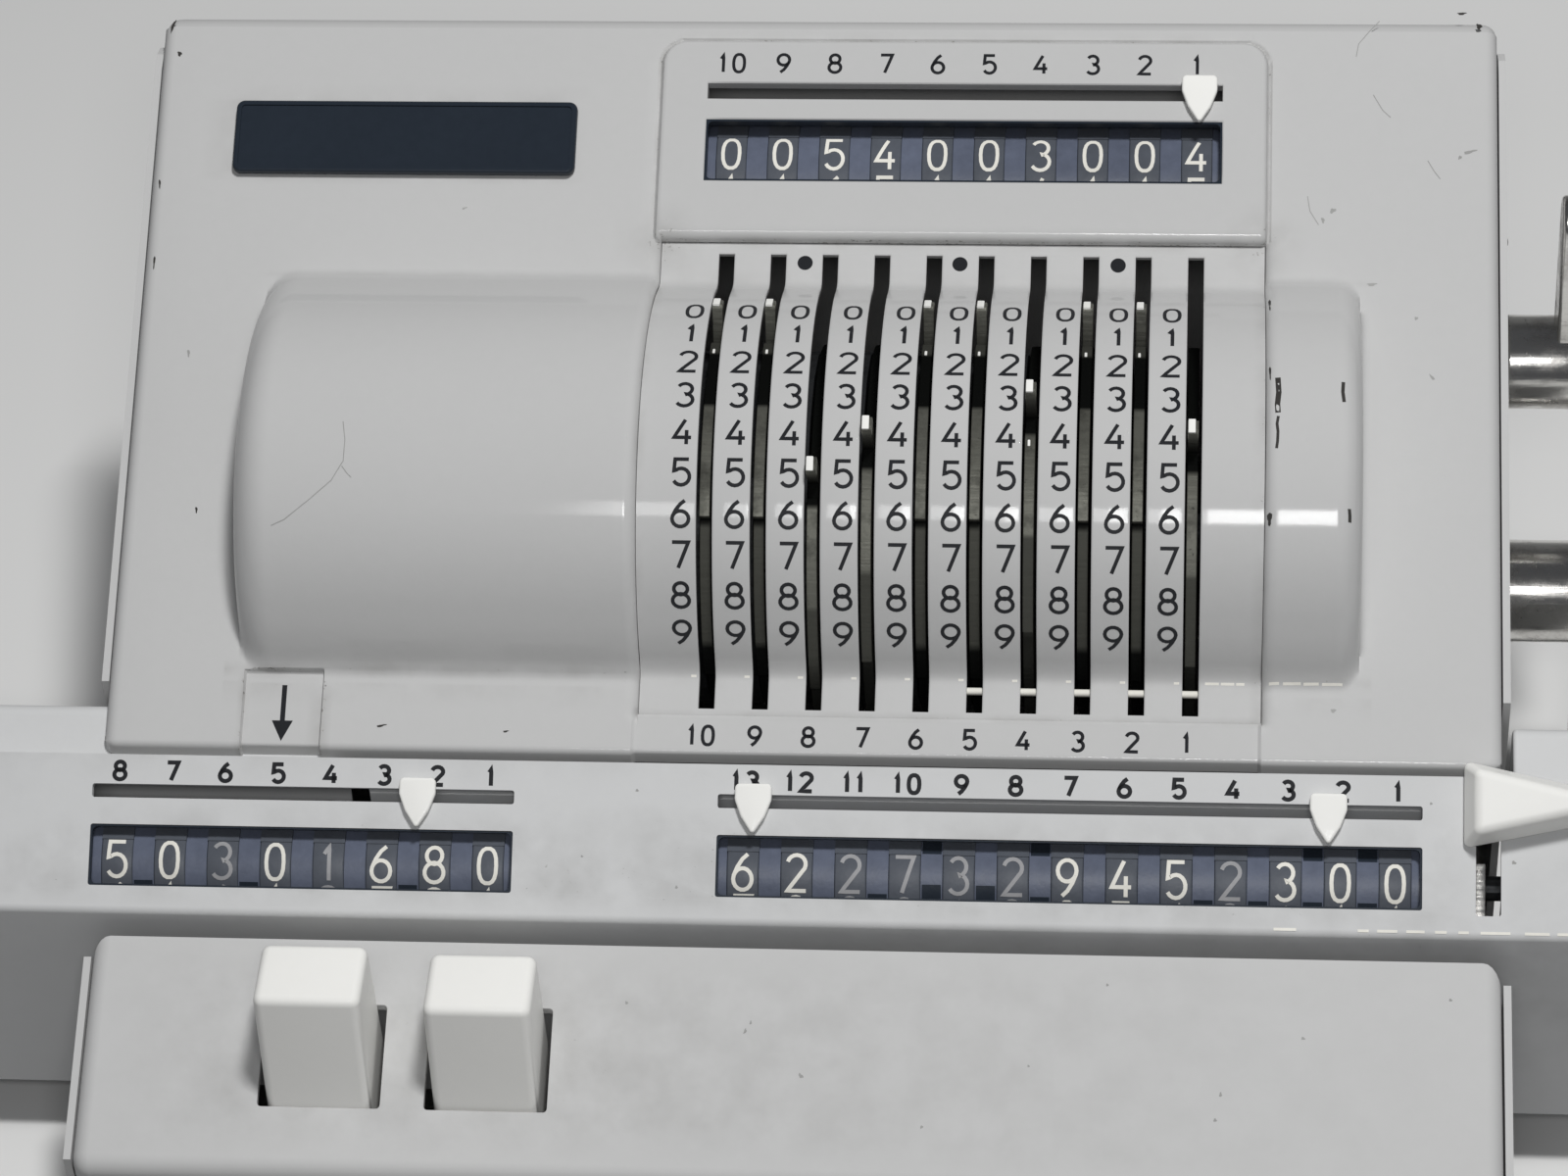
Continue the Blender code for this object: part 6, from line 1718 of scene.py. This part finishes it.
def build_crank():
    """Shaft, gear, hub, arm and the pin of the grip, in one piece"""
    profile = soft_profile([(29.7, 0, 0), (29.7, 4.0, 0.3), (50.6, 4.0, 0), (50.6, 8.5, 0.5),
                            (69.6, 8.5, 0.8), (69.6, 0, 0)])
    crank = turned("crank_body", profile, CRANK_CENTRE, chrome, 96)
    half = 6.0
    outline = [(half * cos(pi + pi * step / 24),
                -38.0 + half * sin(pi + pi * step / 24)) for step in range(25)]
    outline += [(half, 0.0), (-half, 0.0)]
    arm = drawn("arm", shifted(outline, CRANK_CENTRE), 65.1, 69.5, 0.6, chrome)
    grip_centre = (CRANK_CENTRE[0], CRANK_CENTRE[1] - 38.0)
    pin = turned("pin", soft_profile([(67.2, 0, 0), (67.2, 2.5, 0), (108.2, 2.5, 0), (108.2, 5.0, 0.5),
                                      (112.2, 5.0, 1.5), (112.2, 0, 0)]), grip_centre, chrome, 64)
    gear = drawn("gear", shifted(gear_outline(radians(-70) + pi + pi / 16), CRANK_CENTRE), 30.0, 36.0,
                 0.2, chrome)
    return carve(crank, arm, pin, gear, operation="UNION")


def build_clear_lever():
    """Shaft, hub and short arm"""
    centre = (25.0, 15.4)
    profile = soft_profile([(42.8, 0, 0), (42.8, 3.5, 0.3), (50.6, 3.5, 0), (50.6, 7.7, 0.5),
                            (62.6, 7.7, 0.8), (62.6, 0, 0)])
    lever = turned("clearing_lever_body", profile, centre, chrome, 96)
    outline = [(4.5 * cos(pi * step / 24), 26.0 + 4.5 * sin(pi * step / 24)) for step in range(25)]
    outline += [(-4.5, 0.0), (4.5, 0.0)]
    lean = Matrix.Rotation(radians(-12), 2)
    arm = drawn("arm", shifted([tuple(lean @ Vector(point)) for point in outline], centre), 58.6, 62.5,
                0.6, chrome)
    return carve(lever, arm, operation="UNION")


mount(build_crank(), "crank", "chrome", "crank")
mount(build_clear_lever(), "clear_lever", "chrome", "clear_lever")
grip_shares = ((0.0, 0.0, 0), (0.0, 0.62, 0.5), (0.08, 0.86, 1.0), (0.3, 1.0, 5.0), (0.7, 0.96, 5.0),
               (0.93, 0.8, 2.0), (1.0, 0.5, 0.8), (1.0, 0.0, 0))
grip_profile = soft_profile([(69.9 + 38.0 * along, 2.8 + 4.7 * out, round_by) for along, out,
                             round_by in grip_shares])
grip = turned("grip_moulding", grip_profile, (CRANK_CENTRE[0], CRANK_CENTRE[1] - 38.0), plastic_and_glint, 96)
mount(grip, "crank_grip", "white_plastic", "crank_grip")
print("crank axis, mm:", [round(value, 2) for value in CRANK_CENTRE])

# %% [markdown]
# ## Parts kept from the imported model
# The rotor, side frames, pan and carriage frame are plain bent steel already, so they keep
# their shapes. They get worn finishes in place of the plain ones.

# %% Finishes of the kept parts
def pan_finish(name, level):
    """Bent steel with dark rubber below a level, for a pan and its feet"""
    finish = finish_from(name, METAL, {
        "Colour": (0.33, 0.33, 0.32), "Stain And Shade Colour": (0.12, 0.10, 0.08), "Stain": 0.4,
        "Polish Roughness": 0.42}, 0.3)
    tree = finish.node_tree
    shader = tree.nodes["Principled BSDF"]
    place = tree.nodes.new("ShaderNodeTexCoord").outputs["Object"]
    height = tree.nodes.new("ShaderNodeSeparateXYZ")
    tree.links.new(place, height.inputs[0])
    steel = math_node(tree, "GREATER_THAN", height.outputs["Z"], level)
    surface = next(node for node in tree.nodes if node.type == "GROUP")
    tree.links.new(mix_colours(tree, steel, (0.02, 0.02, 0.02, 1), surface.outputs["Colour"]),
                   shader.inputs["Base Color"])
    tree.links.new(math_node(tree, "MULTIPLY", steel, 0.7), shader.inputs["Metallic"])
    return finish


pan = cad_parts["base_pan"]
foot_level = (pan.matrix_world.inverted() @ Vector((0, 0, 0.0039))).z
kept = {"rotor": dark_steel, "chassis": enamel, "base_pan": pan_finish("pan_and_feet", foot_level),
        "carriage_frame": dark_steel}
for node, finish in kept.items():
    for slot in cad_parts[node].material_slots:
        slot.material = finish
print("kept parts:", sorted(kept))

# %% [markdown]
# ## Screws
# Slotted screws hold the side frames to their tie rods and the casing to its back. A tree
# makes one head, a low cone on a short cylinder with its slot cut out, and sets it in a row.

# %% Screws by Geometry Nodes
def build_screw_tree():
    """Slotted heads of one size in a row"""
    tree = bpy.data.node_groups.new("screw_row", "GeometryNodeTree")
    for name, kind in (("Count", "NodeSocketInt"), ("Start", "NodeSocketVector"),
                       ("Step", "NodeSocketVector"),
                       ("Turn", "NodeSocketVector"), ("Radius", "NodeSocketFloat")):
        tree_input(tree, name, kind)
    given = tree.nodes.new("NodeGroupInput").outputs
    link = tree.links.new
    line = tree.nodes.new("GeometryNodeMeshLine")
    link(given["Count"], line.inputs["Count"])
    link(given["Start"], line.inputs["Start Location"])
    link(given["Step"], line.inputs["Offset"])
    head = tree.nodes.new("GeometryNodeMeshCone")
    head.inputs["Vertices"].default_value = 28
    link(given["Radius"], head.inputs["Radius Bottom"])
    link(math_node(tree, "MULTIPLY", given["Radius"], 0.72), head.inputs["Radius Top"])
    link(math_node(tree, "MULTIPLY", given["Radius"], 0.5), head.inputs["Depth"])
    slot = tree.nodes.new("GeometryNodeMeshCube")
    size = tree.nodes.new("ShaderNodeCombineXYZ")
    link(math_node(tree, "MULTIPLY", given["Radius"], 2.4), size.inputs["X"])
    link(math_node(tree, "MULTIPLY", given["Radius"], 0.26), size.inputs["Y"])
    link(math_node(tree, "MULTIPLY", given["Radius"], 0.5), size.inputs["Z"])
    link(size.outputs[0], slot.inputs["Size"])
    lifted = tree.nodes.new("GeometryNodeTransform")
    lift = tree.nodes.new("ShaderNodeCombineXYZ")
    link(math_node(tree, "MULTIPLY", given["Radius"], 0.5), lift.inputs["Z"])
    link(lift.outputs[0], lifted.inputs["Translation"])
    link(slot.outputs["Mesh"], lifted.inputs["Geometry"])
    cut_slot = tree.nodes.new("GeometryNodeMeshBoolean")
    cut_slot.operation = "DIFFERENCE"
    link(head.outputs["Mesh"], cut_slot.inputs["Mesh 1"])
    link(lifted.outputs["Geometry"], cut_slot.inputs["Mesh 2"])
    place = tree.nodes.new("GeometryNodeInstanceOnPoints")
    link(line.outputs["Mesh"], place.inputs["Points"])
    link(cut_slot.outputs["Mesh"], place.inputs["Instance"])
    link(given["Turn"], place.inputs["Rotation"])
    tree_output(tree, place.outputs["Instances"], frame_steel)
    return tree


screw_tree = build_screw_tree()
LEFT_WAY, RIGHT_WAY, BACK_WAY = (0.5, -pi / 2, 0), (0.9, pi / 2, 0), (-pi / 2, 0, 0.4)
for name, count, start, step, way in (
        ("left_low_screws", 2, (-174.3, -25.6, -58.0), (0, 83.6, 0), LEFT_WAY),
        ("left_top_screw", 1, (-174.3, 58.0, 12.0), (0, 0, 0), LEFT_WAY),
        ("right_low_screws", 2, (50.3, -25.6, -58.0), (0, 83.6, 0), RIGHT_WAY),
        ("right_top_screw", 1, (50.3, 58.0, 12.0), (0, 0, 0), RIGHT_WAY),
        ("back_screws", 3, (-150.0, 70.0, -48.0), (88.0, 0, 0), BACK_WAY)):
    grow(name, screw_tree,
         {"Count": count, "Start": AXIS + MM * Vector(start), "Step": MM * Vector(step),
                            "Turn": way, "Radius": 2.7 * MM}, "housing", "bright_steel", 25)
print("screws:", 9)

# %% [markdown]
# ## Stage, light and camera
# The machine stands on a pale floor. A wide soft lamp overhead makes the plain level of
# light, a smaller one near the camera draws the highlight along the drum, and the world
# fills the shadows. The camera has the place and lens that fit the photograph's view.

# %% Stage
def floor_finish(name, seen, bounced):
    """A plain finish that looks pale to the camera and throws little light upwards"""
    finish = bpy.data.materials.new(name)
    finish.use_nodes = True
    tree = finish.node_tree
    shader = tree.nodes["Principled BSDF"]
    shader.inputs["Roughness"].default_value = 0.9
    path = tree.nodes.new("ShaderNodeLightPath")
    shown = math_node(tree, "MAXIMUM", path.outputs["Is Camera Ray"], path.outputs["Is Glossy Ray"])
    tree.links.new(mix_colours(tree, shown, (*bounced, 1), (*seen, 1)), shader.inputs["Base Color"])
    return finish


def build_floor():
    """A wide floor that curves up into a backdrop"""
    profile = [(-2.0, 0.0), (1.4, 0.0)]
    profile += [(1.4 + 0.5 * sin(pi / 2 * step / 12),
                 0.5 - 0.5 * cos(pi / 2 * step / 12)) for step in range(1, 13)]
    profile.append((1.9, 2.4))
    verts = [(x, y, z) for y, z in profile for x in (-2.6, 2.6)]
    faces = [(2 * index, 2 * index + 1, 2 * index + 3,
              2 * index + 2) for index in range(len(profile) - 1)]
    mesh = bpy.data.meshes.new("floor")
    mesh.from_pydata(verts, [], faces)
    floor = mesh_object("floor", mesh,
                        floor_finish("pale_floor", (0.80, 0.80, 0.79), (0.25, 0.25, 0.25)), 60)
    return floor


build_floor()


def softbox(name, place, target, width, height, power, colour=(1, 1, 1)):
    """A rectangular lamp that faces its target"""
    data = bpy.data.lights.new(name, "AREA")
    data.shape = "RECTANGLE"
    data.size, data.size_y = width, height
    data.energy = power
    data.color = colour
    lamp = bpy.data.objects.new(name, data)
    bpy.context.scene.collection.objects.link(lamp)
    lamp.location = place
    lamp.rotation_euler = (Vector(target) - Vector(place)).to_track_quat("-Z", "Y").to_euler()
    return lamp


overhead = softbox("overhead_softbox", (0.19, -0.10, 1.27), (0, 0, 0.06), 0.16, 0.16, 10.3)
overhead.visible_glossy = False
softbox("drum_softbox", (0.085, -0.591, 0.715), (0.058, -0.005, 0.10), 0.14, 0.10, 0.95)
softbox("left_fill_softbox", (-0.065, -0.591, 0.715), (0.0, -0.005, 0.10), 0.17, 0.10, 0.4)
world = bpy.data.worlds.new("studio")
world.use_nodes = True
world.node_tree.nodes["Background"].inputs["Color"].default_value = (0.9, 0.93, 1.0, 1)
world.node_tree.nodes["Background"].inputs["Strength"].default_value = 0.08
bpy.context.scene.world = world
bpy.context.scene.view_settings.view_transform = "Standard"

# %% Camera
camera_data = bpy.data.cameras.new("camera")
camera_data.lens = 111.35
camera_data.sensor_width = 36.0
camera_data.clip_start = 0.01
camera = bpy.data.objects.new("camera", camera_data)
bpy.context.scene.collection.objects.link(camera)
camera.location = (0.0498, -0.5435, 0.6329)
turn, elevation = radians(-6.777), radians(45.419)
sight = Vector((sin(turn) * cos(elevation), cos(turn) * cos(elevation), -sin(elevation)))
roll = Matrix.Rotation(radians(-4.038), 3, "Z").to_quaternion()
camera.rotation_euler = (sight.to_track_quat("-Z", "Y") @ roll).to_euler()
bpy.context.scene.camera = camera
